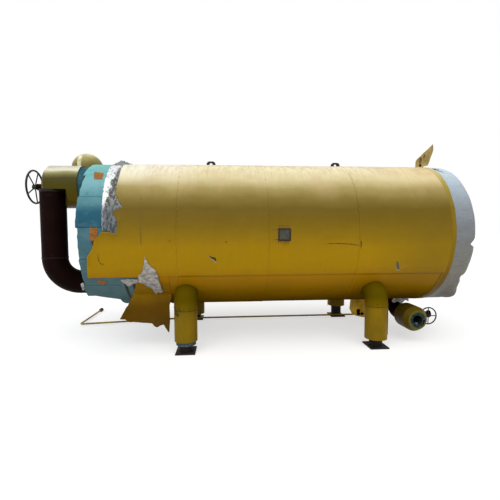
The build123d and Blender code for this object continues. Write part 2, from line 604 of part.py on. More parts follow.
# Scrap of membrane under the right end
scrap_y = -JACKET_RADIUS * math.sin(math.radians(SCRAP_ANGLE))
scrap = slab(SCRAP_SHARES, JACKET_END_X, LAST_COURSE, scrap_y, scrap_y - MEMBRANE)
torn_membranes.append(scrap - jacket_body)
add("torn_membranes", torn_membranes)

# Straps round the bare foam at the lower left
straps = []
for x in (RING_LENGTH + LAP, RING_LENGTH + 3 * LAP):
    straps.append(band(x, x + STRAP_WIDTH, FOAM_RADIUS + FIT + STRAP_THICKNESS, STRAP_THICKNESS,
                       STRAP_START_ANGLE, STRAP_END_ANGLE))
add("foam_straps", straps)

# Upper left nozzle and its foam
valve_axis_left = (VALVE_JACKET_LEFT_X, VALVE_Y, VALVE_Z)
nozzle_start = (VALVE_JACKET_RIGHT_X - NOZZLE_GRIP, VALVE_Y, VALVE_Z)
nozzle_end = (LEFT_TANGENT_X, VALVE_Y, VALVE_Z)
nozzle = tube(nozzle_start, nozzle_end, NOZZLE_RADIUS, NOZZLE_RADIUS - NOZZLE_WALL) - left_head_clear
add("left_nozzle", nozzle)
nozzle_clear = rod(nozzle_start, nozzle_end, NOZZLE_RADIUS + FIT)
left_cap = left_cap - nozzle_clear
collar = tube((VALVE_JACKET_RIGHT_X, VALVE_Y, VALVE_Z), nozzle_end, NOZZLE_FOAM_RADIUS, NOZZLE_RADIUS + FIT)
cap_block = Pos(cap_centre, 0, 0) * Sphere(cap_sphere + FIT)
collar = collar - cap_block - along_axis(0, LEFT_TANGENT_X + OVERRUN, FOAM_RADIUS + FIT)
blocks_x = min(BLOCK_END_SHARES) * RING_LENGTH - FIT
collar = collar - (along_axis(blocks_x, FIT, FOAM_RADIUS + FIT) - along_axis(blocks_x, FIT, VESSEL_RADIUS))
foam_collars.append(collar)
add("foam_collars", foam_collars)

# Riser pipe: from the valve down, round the bend and into the lower part of the head
run_x = math.cos(math.radians(RUN_ANGLE))
run_y = math.sin(math.radians(RUN_ANGLE))


def on_run(distance):
    """A point on the lower run, counted from the corner under the riser."""
    return (RISER_X + distance * run_x, RISER_Y + distance * run_y, RISER_RUN_Z)


riser_points = [(RISER_X, RISER_Y, RISER_TOP_Z), on_run(0), on_run(RISER_BEND_RADIUS + RISER_TAIL)]
riser_outer = bent_rod(riser_points, RISER_BEND_RADIUS, RISER_RADIUS)
riser_inner = bent_rod([(RISER_X, RISER_Y, RISER_TOP_Z - RISER_WALL)] + riser_points[1:],
                       RISER_BEND_RADIUS, RISER_RADIUS - RISER_WALL)
add("riser_pipe", riser_outer - riser_inner)
branch_start = on_run(RISER_BEND_RADIUS + RISER_TAIL)
branch_end = on_run(BRANCH_REACH)
branch = tube(branch_start, branch_end, BRANCH_RADIUS, BRANCH_RADIUS - BRANCH_WALL)
add("lower_branch", branch - left_head_clear)
add("left_head_insulation", left_cap - rod(branch_start, branch_end, BRANCH_RADIUS + FIT))

# Valve jacket round the angle valve, notched for the riser
valve_jacket = rod(valve_axis_left, (VALVE_JACKET_RIGHT_X, VALVE_Y, VALVE_Z), VALVE_JACKET_RADIUS)
left_rim = valve_jacket.edges().filter_by(GeomType.CIRCLE).sort_by(Axis.X)[0]
valve_jacket = chamfer(left_rim, VALVE_JACKET_BEVEL)
riser_clear = rod((RISER_X, RISER_Y, RISER_TOP_Z + FIT), (RISER_X, RISER_Y, 0), RISER_RADIUS + FIT)
notch_right_x = RISER_X + RISER_RADIUS + RISER_NOTCH
notch = Pos(notch_right_x, RISER_Y, RISER_TOP_Z + FIT) * Box(
    notch_right_x - VALVE_JACKET_LEFT_X, VALVE_JACKET_RADIUS, 2 * VALVE_JACKET_RADIUS,
    align=(Align.MAX, Align.MAX, Align.MAX)
)
add("left_valve_jacket", valve_jacket - riser_clear - notch - nozzle_clear)

# Insulated pipe from the valve to the back, then up under a domed cover
back_bend = BACK_PIPE_RADIUS + BACK_PIPE_THROAT
back_y = VALVE_Y + BACK_PIPE_REACH
back_top = VALVE_Z + BACK_PIPE_RISE
back_points = [(BACK_PIPE_X, VALVE_Y, VALVE_Z), (BACK_PIPE_X, back_y, VALVE_Z),
               (BACK_PIPE_X, back_y, back_top)]
back_sleeve = bent_rod(back_points, back_bend, BACK_PIPE_RADIUS)
back_sleeve = back_sleeve + Pos(BACK_PIPE_X, back_y, back_top) * Sphere(BACK_PIPE_RADIUS)
back_sleeve = back_sleeve - bent_rod(back_points, back_bend, NOZZLE_RADIUS + FIT)
back_tube = bent_rod(back_points, back_bend, NOZZLE_RADIUS)
back_tube = back_tube - bent_rod(back_points, back_bend, NOZZLE_RADIUS - NOZZLE_WALL)
valve_block = rod((VALVE_JACKET_LEFT_X, VALVE_Y, VALVE_Z), (LEFT_TANGENT_X, VALVE_Y, VALVE_Z),
                  VALVE_JACKET_RADIUS + FIT)
ring_block = along_axis(-OVERRUN, JACKET_END_X, JACKET_RADIUS + FIT)
add("back_pipe_jacket", back_sleeve - valve_block - ring_block - cap_block)
add("back_pipe", back_tube - valve_block - ring_block - cap_block)


def wheel(radius, rim, hub, hub_length, bore, spokes, spoke_radius):
    """A spoked handwheel about the Z axis, its rim level with the middle of the hub."""
    section = Plane.XZ * Pos(radius - rim, 0) * RegularPolygon(rim, RIM_SIDES)
    inside = (hub + bore) / 2
    spoke = Pos(0, 0, inside) * Cylinder(
        spoke_radius, radius - rim - inside, align=(Align.CENTER, Align.CENTER, Align.MIN)
    )
    arms = [Rotation(0, 0, n * 360 / spokes) * Rotation(0, 90, 0) * spoke for n in range(spokes)]
    body = Cylinder(hub, hub_length) - Cylinder(bore, hub_length + OVERRUN)
    return body + arms + revolve(section, Axis.Z)


# Left handwheel on its stem
left_hub_right = LEFT_WHEEL_X + LEFT_HUB_LENGTH / 2
left_hub_left = LEFT_WHEEL_X - LEFT_HUB_LENGTH / 2
bonnet_end = left_hub_right + LEFT_BONNET_GAP
bonnet = rod(valve_axis_left, (bonnet_end, VALVE_Y, VALVE_Z), LEFT_BONNET_RADIUS)
stem = rod(valve_axis_left, (left_hub_left - STEM_END, VALVE_Y, VALVE_Z), LEFT_STEM_RADIUS)
add("left_valve_bonnet", bonnet + stem)
left_wheel = wheel(LEFT_WHEEL_RADIUS, LEFT_RIM_RADIUS, LEFT_HUB_RADIUS, LEFT_HUB_LENGTH,
                   LEFT_STEM_RADIUS + STEM_CLEARANCE, LEFT_SPOKES, LEFT_SPOKE_RADIUS)
wheel_turn = Rotation(0, 0, LEFT_WHEEL_TURN) * left_wheel
add("left_handwheel", Pos(LEFT_WHEEL_X, VALVE_Y, VALVE_Z) * Rotation(0, -90, 0) * wheel_turn)

# Side branch with its small valve and the right handwheel
side_pipe = rod((OUTLET_X, SIDE_Y, SIDE_Z), (SIDE_PIPE_END_X, SIDE_Y, SIDE_Z), SIDE_PIPE_RADIUS)
side_body = Pos(SIDE_VALVE_X, SIDE_Y, SIDE_Z) * Sphere(SIDE_BODY_RADIUS)
side_cap = rod((SIDE_PIPE_END_X - SIDE_CAP_LENGTH, SIDE_Y, SIDE_Z), (SIDE_PIPE_END_X, SIDE_Y, SIDE_Z),
               SIDE_CAP_RADIUS)
right_hub_back = RIGHT_WHEEL_Y + RIGHT_HUB_LENGTH / 2
right_hub_front = RIGHT_WHEEL_Y - RIGHT_HUB_LENGTH / 2
side_bonnet = rod((SIDE_VALVE_X, SIDE_Y, SIDE_Z), (SIDE_VALVE_X, right_hub_back + RIGHT_BONNET_GAP, SIDE_Z),
                  SIDE_BONNET_RADIUS)
side_stem = rod((SIDE_VALVE_X, SIDE_Y, SIDE_Z), (SIDE_VALVE_X, right_hub_front - STEM_END, SIDE_Z),
                RIGHT_STEM_RADIUS)
side_clear = bent_rod(elbow_points, OUTLET_BEND_RADIUS, OUTLET_ELBOW_RADIUS + FIT)
add("side_valve", side_pipe + side_body + side_cap + side_bonnet + side_stem - side_clear)
right_wheel = wheel(RIGHT_WHEEL_RADIUS, RIGHT_RIM_RADIUS, RIGHT_HUB_RADIUS, RIGHT_HUB_LENGTH,
                    RIGHT_STEM_RADIUS + STEM_CLEARANCE, RIGHT_SPOKES, RIGHT_SPOKE_RADIUS)
add("right_handwheel", Pos(SIDE_VALVE_X, RIGHT_WHEEL_Y, SIDE_Z) * Rotation(90, 0, 0) * right_wheel)

# Drain line: down from the pot, along the ground behind the feet, its arm to the back and its cap
drain_x = SUMP_X + DRAIN_SUMP_OFFSET
arm_y = DRAIN_LEFT_Y + DRAIN_ARM_LENGTH
line_points = [(drain_x, SUMP_Y, SUMP_BOTTOM_Z - FIT), (drain_x, SUMP_Y, DRAIN_Z),
               (drain_x, DRAIN_LINE_Y, DRAIN_Z), (DRAIN_KNEE_X, DRAIN_LINE_Y, DRAIN_Z),
               (DRAIN_LEFT_X, DRAIN_LEFT_Y, DRAIN_Z), (DRAIN_LEFT_X, arm_y, DRAIN_Z)]
line_bends = [DRAIN_BEND_RADIUS, DRAIN_BEND_RADIUS, DRAIN_KNEE_RADIUS, DRAIN_BEND_RADIUS]
line_path = FilletPolyline(*line_points, radius=line_bends)
add("drain_pipe", sweep(Plane(line_path @ 0, z_dir=line_path % 0) * Circle(DRAIN_RADIUS), line_path))
arm_end = (DRAIN_LEFT_X, arm_y, DRAIN_Z)
cap_end = (DRAIN_LEFT_X, arm_y + DRAIN_CAP_LENGTH, DRAIN_Z)
drain_fittings = [rod(arm_end, cap_end, DRAIN_CAP_RADIUS)]

# Clamps that hold the line to the back legs
for x in (LEG_LEFT_X, LEG_RIGHT_X):
    clamp_top = DRAIN_Z + DRAIN_RADIUS + FIT + CLAMP_THICKNESS
    clamp_bottom = plate_top
    reach = LEG_REACH - LEG_PIPE_RADIUS - (DRAIN_LINE_Y + FIT)
    block = Pos(x, DRAIN_LINE_Y + FIT, clamp_bottom) * Box(
        CLAMP_WIDTH, reach, clamp_top - clamp_bottom + CLAMP_THICKNESS,
        align=(Align.CENTER, Align.MIN, Align.MIN)
    )
    clear = rod((x - CLAMP_WIDTH, DRAIN_LINE_Y, DRAIN_Z), (x + CLAMP_WIDTH, DRAIN_LINE_Y, DRAIN_Z),
                DRAIN_RADIUS + FIT)
    leg_clear = rod((x, LEG_REACH, GROUND_Z), (x, LEG_REACH, 0), LEG_PIPE_RADIUS + FIT)
    drain_fittings.append(block - clear - leg_clear)
add("drain_fittings", drain_fittings)


def solids_of(shape):
    """All solids of a piece, one level deep."""
    if isinstance(shape, (list, tuple)):
        return [solid for item in shape for solid in solids_of(item)]
    return list(shape.solids())


# Set the whole tank on the ground with its foot-print centred on the origin
built = {name: Compound(children=solids_of(shape)) for name, shape in parts.items()}
whole = Compound(children=[copy for shape in built.values() for copy in shape.solids()]).bounding_box()
shift = Location((-(whole.min.X + whole.max.X) / 2, -(whole.min.Y + whole.max.Y) / 2, -whole.min.Z))
for name, shape in built.items():
    export_step(shape.moved(shift), os.path.join("parts", name + ".step"))
print("shift", shift.position, "size", whole.size)
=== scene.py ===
import math

import bpy
import numpy as np
from mathutils import Matrix, Vector, noise


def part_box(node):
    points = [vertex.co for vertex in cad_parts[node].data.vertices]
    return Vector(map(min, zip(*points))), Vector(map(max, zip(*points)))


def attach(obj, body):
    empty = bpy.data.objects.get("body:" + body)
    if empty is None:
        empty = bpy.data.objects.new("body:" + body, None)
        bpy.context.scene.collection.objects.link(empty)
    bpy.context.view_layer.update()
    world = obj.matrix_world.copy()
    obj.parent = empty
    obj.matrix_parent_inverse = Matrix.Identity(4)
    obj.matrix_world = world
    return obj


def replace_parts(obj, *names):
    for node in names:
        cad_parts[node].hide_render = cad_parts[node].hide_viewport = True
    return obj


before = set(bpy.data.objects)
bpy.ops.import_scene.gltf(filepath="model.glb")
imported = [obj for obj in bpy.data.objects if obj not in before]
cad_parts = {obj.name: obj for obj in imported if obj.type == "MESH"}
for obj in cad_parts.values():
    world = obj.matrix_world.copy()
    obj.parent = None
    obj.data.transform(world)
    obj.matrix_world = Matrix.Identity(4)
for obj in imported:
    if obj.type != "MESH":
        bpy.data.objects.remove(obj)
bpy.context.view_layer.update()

# The tank lies along X. Lengths count from the torn left end of its jacket, which is 4.66 m long and 2 m
# across; heights count from its axis, which runs 1.468 m above the ground.
JACKET_END, AXIS_HEIGHT = 4.66, 1.468
trim_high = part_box("jacket_trim")[1]
course_low, course_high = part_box("jacket_course_2")
ORIGIN = Vector((trim_high[0] - JACKET_END, (course_low[1] + course_high[1]) / 2, AXIS_HEIGHT))

# Camera: someone of usual height with a wide lens stands before the left half of the tank, turned a little
# to the right and slightly down.
SENSOR, FOCAL_PIXELS, PICTURE_PIXELS = 36, 348.571, 500
TURN, TILT, ROLL = -0.076, -0.064, 0.003
EYE = ORIGIN + Vector((1.706, -5.204, 0.097))
lens = bpy.data.cameras.new("camera")
lens.sensor_width = SENSOR
lens.lens = FOCAL_PIXELS / PICTURE_PIXELS * SENSOR
camera = bpy.data.objects.new("camera", lens)
turn = Matrix.Rotation(TURN, 3, "Z") @ Matrix.Rotation(TILT, 3, "X") @ Matrix.Rotation(ROLL, 3, "Y")
right, forward, up = turn.col
camera.matrix_world = Matrix.Translation(EYE) @ Matrix((right, up, -forward)).transposed().to_4x4()
bpy.context.collection.objects.link(camera)
bpy.context.scene.camera = camera

# Vessel, leg pipes, nozzle, back pipe and sump pipe: rolled and welded carbon steel in dull dark primer that
# has rusted in places. Only the leg stubs, the open lower left and the cut ends show past the insulation.


def feed(node, key, value):
    """Link a socket to a node's input, or store a plain value in it."""
    if isinstance(value, bpy.types.NodeSocket):
        node.id_data.links.new(value, node.inputs[key])
    else:
        node.inputs[key].default_value = value


def shade(tree, kind, inputs={}, **settings):
    """A shader node with its inputs and its settings."""
    item = tree.nodes.new("ShaderNode" + kind)
    for key, value in settings.items():
        setattr(item, key, value)
    for key, value in inputs.items():
        feed(item, key, value)
    return item


def material(name, gloss):
    """A new node material, its shader and the coordinates counted from the tank's axis."""
    stuff = bpy.data.materials.new(name)
    stuff.use_nodes = True
    tree = stuff.node_tree
    place = shade(tree, "TexCoord").outputs["Object"]
    place = shade(tree, "VectorMath", {0: place, 1: tuple(ORIGIN)}, operation="SUBTRACT").outputs["Vector"]
    shader = tree.nodes["Principled BSDF"]
    feed(shader, "Specular IOR Level", gloss)
    return stuff, shader, place


def grain(place, scale, detail=4.0, stretch=(1, 1, 1), rough=0.6):
    """A noise pattern, stretched along the tank's axes. As below, the tree is found from a socket."""
    tree = place.id_data
    mapped = shade(tree, "Mapping", {"Vector": place, "Scale": stretch}).outputs["Vector"]
    return shade(tree, "TexNoise", {"Vector": mapped, "Scale": scale, "Detail": detail,
                                    "Roughness": rough}).outputs["Fac"]


def span(value, low, high, start=0.0, end=1.0, smooth=False):
    """A value stretched between two limits."""
    kind = "SMOOTHSTEP" if smooth else "LINEAR"
    limits = {"From Min": low, "From Max": high, "To Min": start, "To Max": end}
    return shade(value.id_data, "MapRange", {"Value": value, **limits}, interpolation_type=kind).outputs["Result"]


def mix(factor, first, second):
    """Two colours mixed by a factor, any of the three a socket."""
    tree = next(value.id_data for value in (factor, first, second) if isinstance(value, bpy.types.NodeSocket))
    first, second = ((*value, 1) if isinstance(value, tuple) else value for value in (first, second))
    return shade(tree, "Mix", {0: factor, 6: first, 7: second}, data_type="RGBA").outputs[2]


def coat(shader, tone, rough, *layers):
    """A surface's colour, its roughness (a number, or a pattern and two limits) and its relief in metres."""
    feed(shader, "Base Color", tone)
    feed(shader, "Roughness", span(rough[0], 0.3, 0.7, *rough[1:]) if isinstance(rough, tuple) else rough)
    inputs = {}
    for height, distance in layers:
        inputs.update({"Height": height, "Distance": distance})
        inputs["Normal"] = shade(shader.id_data, "Bump", inputs).outputs["Normal"]
    if layers:
        feed(shader, "Normal", inputs["Normal"])


def worn(name, colour, second, scale, roughness, depth=0.0008, fine=90, metallic=0.0, gloss=0.25):
    """A worn surface: two tones in clouds, uneven gloss and fine relief."""
    stuff, shader, place = material(name, gloss)
    feed(shader, "Metallic", metallic)
    clouds = grain(place, scale, 6.0)
    patches = grain(place, scale * 4, 3.0)
    coat(shader, mix(span(clouds, 0.36, 0.66), colour, second), (patches, roughness - 0.09, roughness + 0.12),
         (grain(place, fine, 2.0), depth), (clouds, depth * 3))
    return stuff


def dress(stuff, *nodes):
    """Give CAD nodes their material."""
    for name in nodes:
        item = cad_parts[name]
        item = item if hasattr(item, "data") else bpy.data.objects[item]
        item.data.materials.clear()
        item.data.materials.append(stuff)


steel = worn("primed_steel", (0.007, 0.006, 0.006), (0.02, 0.012, 0.009), 7, 0.62, gloss=0.15)
dress(steel, "vessel_shell", "vessel_left_head", "vessel_right_head", "leg_pipes", "left_nozzle", "back_pipe",
      "sump_pipe")

# Feet, lugs, clamps, straps and the nameplate's frame: flat bar and plate, black coated, rusty at the edges.
# The plates lie under the leg stubs, the lugs are welded to the shell and stand out of the jacket.
black = worn("black_steel", (0.006, 0.006, 0.006), (0.024, 0.015, 0.01), 9, 0.55)
dress(black, "foot_plates", "lifting_lugs", "drain_fittings", "foam_straps", "nameplate_frame")

# Foam over the shell and the heads: blue-green rigid blocks cut to the curve and glued. Their faces are finely pitted
# and flecked with dirt. Their colour is painted by height: painted light makes them bright towards the top, painted
# shade lays a dark band just above the axis, and they turn greyer towards the bottom.


def axes(vector):
    """The parts of a vector by X, Y and Z."""
    return shade(vector.id_data, "SeparateXYZ", {"Vector": vector}).outputs


def sums(kind, first, second):
    """Two values added, multiplied and so on."""
    return shade(first.id_data, "Math", {0: first, 1: second}, operation=kind).outputs["Value"]


def bands(value, stops):
    """Colours blended one into the next as a value goes from the first stop to the last."""
    low, high = stops[0][0], stops[-1][0]
    ramp = shade(value.id_data, "ValToRGB", {"Fac": span(value, low, high)})
    for at, colour in stops[1:-1]:
        ramp.color_ramp.elements.new((at - low) / (high - low))
    for element, (at, colour) in zip(ramp.color_ramp.elements, stops):
        element.position = (at - low) / (high - low)
        element.color = (*colour, 1)
    return ramp.outputs["Color"]


def drift(value, pattern, reach):
    """A value made uneven by a pattern, so that bands of colour wander."""
    return sums("ADD", value, span(pattern, 0.3, 0.7, -reach, reach))


def shares(first, second):
    """Two shares multiplied."""
    return sums("MULTIPLY", first, second)


foam, shader, place = material("foam", 0.1)
clouds = grain(place, 4, 6.0, (1, 1, 2))
pits = grain(place, 140, 2.0)
# Painted light and shade by height: bright at the top, a dark band of painted shade just above the axis, greyer lower
# down.
tone = bands(drift(axes(place)["Z"], clouds, 0.03), [
    (-1.0, (0.12, 0.2, 0.21)), (-0.63, (0.1, 0.19, 0.205)), (-0.3, (0.075, 0.175, 0.2)),
    (0.07, (0.06, 0.16, 0.2)), (0.13, (0.02, 0.098, 0.15)), (0.27, (0.024, 0.11, 0.165)),
    (0.46, (0.1, 0.27, 0.31)), (0.64, (0.2, 0.43, 0.465)), (0.8, (0.17, 0.47, 0.47)), (1.0, (0.24, 0.58, 0.53))])
tone = mix(span(clouds, 0.5, 0.75, 0.0, 0.5), tone, (0.16, 0.29, 0.31))
dirt = span(grain(place, 16, 8.0), 0.58, 0.76)
tone = mix(shares(dirt, 0.5), tone, (0.07, 0.075, 0.065))
coat(shader, tone, 0.82, (pits, 0.0015), (clouds, 0.004))
dress(foam, "shell_insulation", "left_head_insulation", "right_head_insulation")

# Foam collars round the nozzle, under one leg sleeve and in the outlet: sawn rings of the same foam, painted darker
# with painted shade because no sun reaches them, with pale crumbs along their edges.
ring_foam, shader, place = material("collar_foam", 0.1)
crumbs = span(grain(place, 60, 4.0), 0.6, 0.68)
tone = mix(span(grain(place, 5, 5.0), 0.35, 0.65), (0.022, 0.085, 0.115), (0.045, 0.135, 0.165))
tone = mix(shares(crumbs, 0.6), tone, (0.25, 0.36, 0.36))
parts = axes(place)
tone = mix(span(parts["Z"], -1.15, -1.25), tone, mix(crumbs, (0.055, 0.095, 0.105), (0.24, 0.28, 0.28)))
# The ring in the outlet, under the tank, is painted near black: painted shade.
painted_outlet_shade = span(parts["X"], 3.9, 4.0)
clods = span(grain(place, 24, 5.0), 0.42, 0.56)
tone = mix(painted_outlet_shade, tone, mix(clods, (0.004, 0.01, 0.011), (0.024, 0.085, 0.098)))
coat(shader, tone, 0.85, (grain(place, 70, 3.0), 0.004))
dress(ring_foam, "foam_collars")

# The torn left end shows sixteen long foam blocks side by side like barrel staves, each with its own broken
# end. Below, the front block has lost its lower corner and the next three are broken back.


def piece(name, nets, stuff, thickness=0.0):
    """One object from several nets of points and faces, smooth, with a sheet's thickness if it has one."""
    mesh = bpy.data.meshes.new(name)
    points, faces, count = [], [], 0
    for net_points, net_faces in nets:
        points.append(net_points)
        faces += [tuple(int(i) + count for i in face) for face in net_faces]
        count += len(net_points)
    mesh.from_pydata([tuple(p) for p in np.vstack(points) + np.array(ORIGIN)], [], faces)
    mesh.polygons.foreach_set("use_smooth", [True] * len(mesh.polygons))
    item = bpy.data.objects.new(name, mesh)
    bpy.context.collection.objects.link(item)
    mesh.materials.append(stuff)
    if thickness:
        solid = item.modifiers.new("thickness", "SOLIDIFY")
        solid.thickness = thickness
        solid.offset = -1
    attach(item, "vessel")
    return item


def strips(rows, wide, closed=False):
    """Four-sided faces between rows of points, open or closed round."""
    return [(r * wide + c, r * wide + (c + 1) % wide, (r + 1) * wide + (c + 1) % wide, (r + 1) * wide + c)
            for r in range(rows - 1) for c in range(wide if closed else wide - 1)]


BLOCK_ENDS = [-0.025, -0.017, -0.046, -0.062, -0.05, -0.025, -0.042, -0.013, -0.029, 0.008, 0.147, 0.302, 0.328,
              -0.042, -0.008, -0.002]
FIRST_BLOCK, BLOCK_TURN, BLOCK_ROOT, BROKEN_BLOCK = 6, 22.5, 0.419, 13
JOINT, BLOCK_TOP, FOAM_INSIDE = 0.0035, 0.9895, 0.8515
nets = []
for number, end in enumerate(BLOCK_ENDS):
    first = math.radians(FIRST_BLOCK + BLOCK_TURN * number)
    wide = math.radians(BLOCK_TURN)
    across = np.concatenate([[0.0, JOINT / 2], np.linspace(JOINT, wide - JOINT, 22), [wide - JOINT / 2, wide]])
    rows = [(0.0, FOAM_INSIDE), (0.0, 0.9), (0.0, 0.94), (0.0, 0.972), (0.0012, 0.9835), (0.006, 0.9875)]
    rows += [(x, 0.988) for x in np.linspace(0.016, BLOCK_ROOT - end, 34)]
    points = []
    for reach, radius in rows:
        for around in across:
            angle = first + around
            if number == BROKEN_BLOCK:
                broken = np.interp(end + reach, [-0.06, 0.055, 0.272, 0.42], [-51.8, -51.8, -57.3, -61.3])
                broken = math.radians(broken) + 2 * math.pi
                angle = broken + around / wide * (first + wide - broken)
            chip = noise.noise(Vector((angle * 14, number * 3.1, 2.0)))
            x = end + reach + (0.007 * chip + 0.004 * noise.noise(Vector((angle * 60, number, 5.0)))) * (reach < 0.2)
            sunk = 0.016 * (around in (across[0], across[-1])) + 0.0022 * (around in (across[1], across[-2]))
            rough = 0.0016 * noise.noise(Vector((x * 22, angle * 20, 7.0))) - 0.002 * max(0, chip - 0.2)
            level = min(radius + rough, BLOCK_TOP) - sunk * (radius > 0.95)
            points.append((x, -level * math.cos(angle), level * math.sin(angle)))
    nets.append((np.array(points), strips(len(rows), len(across))))
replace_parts(piece("foam_blocks", nets, foam), "left_ring_blocks")

# Jacket: thin sheet with a golden yellow coating, four courses of an upper and a lower sheet, lapped like tiles and
# riveted. Its colour is painted by height: a painted highlight turns the top cream, painted shade darkens the
# shoulder, a painted reflection of the bright ground makes the lower side golden, and painted shade darkens the
# belly. Its streaks, dark spots and the dust on top are its own.
yellow, shader, place = material("yellow_jacket", 0.1)
height = axes(place)["Z"]
clouds = grain(place, 1.6, 8.0, (1, 1, 1.6))
streaks = grain(place, 5, 8.0, (5, 1, 0.5), 0.75)
# Painted light, shade and reflection by height: cream top, dark shoulder, golden lower side, dark belly.
painted_light_bands = bands(drift(height, clouds, 0.035), [
    (-1.0, (0.11, 0.052, 0.0005)), (-0.845, (0.205, 0.102, 0.0005)), (-0.675, (0.335, 0.168, 0.0)),
    (-0.53, (0.445, 0.21, 0.0)), (-0.4, (0.465, 0.26, 0.0)), (-0.27, (0.436, 0.249, 0.0)),
    (-0.146, (0.401, 0.228, 0.001)), (-0.025, (0.301, 0.177, 0.002)), (0.094, (0.225, 0.138, 0.003)),
    (0.214, (0.176, 0.107, 0.003)), (0.335, (0.144, 0.093, 0.004)), (0.459, (0.213, 0.152, 0.026)),
    (0.59, (0.371, 0.29, 0.094)), (0.728, (0.69, 0.59, 0.325)), (0.9, (0.86, 0.775, 0.495)),
    (1.0, (0.72, 0.62, 0.42))])
tone = mix(span(streaks, 0.4, 0.8, 0.0, 0.16), painted_light_bands, (0.2, 0.14, 0.03))
feed(shader, "Specular IOR Level", span(height, -0.72, -0.5, 0.0, 0.1))
sides = axes(place)["X"]
# The middle band is made darker and duller towards the right end.
middle = shares(span(height, 0.45, 0.2), span(height, -0.75, -0.5))
right_end_darkening = shares(middle, span(sides, 3.5, 4.3, 0.0, 0.42))
tone = mix(right_end_darkening, tone, (0.16, 0.108, 0.01))
# Painted highlight along the top: cream over the left part and tan over the right end.
crest = span(height, 0.62, 0.88)
tone = mix(shares(crest, span(sides, 1.5, 0.6, 0.0, 0.7)), tone, (0.93, 0.91, 0.78))
tone = mix(shares(crest, span(sides, 3.6, 4.4, 0.0, 0.7)), tone, (0.74, 0.56, 0.27))
blush = shares(span(grain(place, 2.2, 7.0), 0.5, 0.66), span(height, 0.4, 0.7))
tone = mix(shares(blush, 0.35), tone, (0.6, 0.4, 0.24))
spots = span(grain(place, 45, 3.0), 0.69, 0.75)
tone = mix(shares(spots, 0.5), tone, (0.07, 0.04, 0.012))
top_dust = shares(span(height, 0.72, 0.95), span(streaks, 0.46, 0.62))
tone = mix(shares(top_dust, 0.45), tone, (0.42, 0.29, 0.17))
dents = grain(place, 2.6, 2.0)
coat(shader, tone, (streaks, 0.34, 0.5), (grain(place, 160, 2.0), 0.0003), (streaks, 0.0004), (dents, 0.02))


def inside(points, loop):
    """Which points lie inside a closed outline."""
    found = np.zeros(len(points), bool)
    for (ax, ay), (bx, by) in zip(loop, np.roll(loop, -1, axis=0)):
        crosses = (ay > points[:, 1]) != (by > points[:, 1])
        rise = by - ay if by != ay else 1.0
        found ^= crosses & (points[:, 0] < (bx - ax) * (points[:, 1] - ay) / rise + ax)
    return found


def nearest(points, path):
    """The nearest places on a path, and how far they are."""
    best = np.full(len(points), np.inf)
    place = points.copy()
    for a, b in zip(path[:-1], path[1:]):
        way = b - a
        along = np.clip(((points - a) @ way) / max(way @ way, 1e-12), 0, 1)
        on = a + along[:, None] * way
        far = np.hypot(points[:, 0] - on[:, 0], points[:, 1] - on[:, 1])
        closer = far < best
        best[closer], place[closer] = far[closer], on[closer]
    return place, best


def ragged(path, step, depth, seed):
    """A torn edge: a path split in short steps, each moved a little off the line."""
    points = []
    for a, b in zip(path[:-1], path[1:]):
        a, b = Vector(a), Vector(b)
        count = max(1, round((b - a).length / step))
        side = Vector((a.y - b.y, b.x - a.x)).normalized()
        for n in range(count):
            at = a.lerp(b, n / count)
            points.append(at + side * depth * 2 * noise.noise(Vector((at.x * 37, at.y * 37, seed))))
    return [tuple(p) for p in points] + [tuple(path[-1])]


def frayed(loop, step, depth, seed):
    """A torn outline: a closed loop made ragged all round."""
    return ragged(loop + loop[:1], step, depth, seed)[:-1]


def steps(low, high, pitch, fine=()):
    """Net lines from low to high, closer together in the given stretches."""
    lines = [np.linspace(low, high, max(2, round((high - low) / pitch) + 1))]
    for start, end, close in fine:
        start, end = max(low, start), min(high, end)
        lines.append(np.linspace(start, end, max(2, round((end - start) / close) + 1)))
        lines[0] = lines[0][(lines[0] <= start) | (lines[0] >= end)]
    return np.unique(np.round(np.concatenate(lines), 5))


def net(loop, across, along, holes=()):
    """A net of four-sided faces inside an outline, its border drawn onto the outline."""
    loop = np.array(loop, float)
    first, second = np.meshgrid(across, along, indexing="ij")
    points = np.stack([first.ravel(), second.ravel()], 1)
    corner = (np.arange(len(across) - 1)[:, None] * len(along) + np.arange(len(along) - 1)).ravel()
    faces = np.stack([corner, corner + len(along), corner + len(along) + 1, corner + 1], 1)
    middles = points[faces].mean(1)
    keep = inside(middles, loop)
    for hole in holes:
        keep &= ~inside(middles, np.array(hole, float))
    faces = faces[keep]
    uses = np.bincount(faces.ravel(), minlength=len(points))
    border = (uses > 0) & (uses < 4)
    edge = [np.vstack([loop, loop[:1]])] + [np.vstack([hole, hole[:1]]) for hole in holes]
    found = [nearest(points[border], np.array(path, float)) for path in edge]
    closest = np.argmin([far for place, far in found], axis=0)
    points[border] = np.array([place for place, far in found])[closest, np.arange(border.sum())]
    used = np.unique(faces)
    index = np.zeros(len(points), int)
    index[used] = np.arange(len(used))
    return points[used], index[faces]


def patch(loop, across, along=None):
    """A net that fills an outline, at one pitch or at two."""
    low, high = np.array(loop).min(0), np.array(loop).max(0)
    return net(loop, steps(low[0], high[0], across), steps(low[1], high[1], along or across))


def round_tank(points, radius):
    """Places on the tank from a length along it, an angle up from the front and a radius."""
    x, angle = points[:, 0], points[:, 1]
    return np.stack([x, -radius * np.cos(angle), radius * np.sin(angle)], 1)


def rumple(points, scales, seed):
    """One value of smooth noise for each point, the two measures scaled by scales."""
    a, b = scales
    return np.array([noise.noise(Vector((p[0] * a, p[1] * b, seed))) for p in points])


def deg(path):
    """A path of lengths and degrees turned into lengths and radians."""
    return [(x, math.radians(a)) for x, a in path]


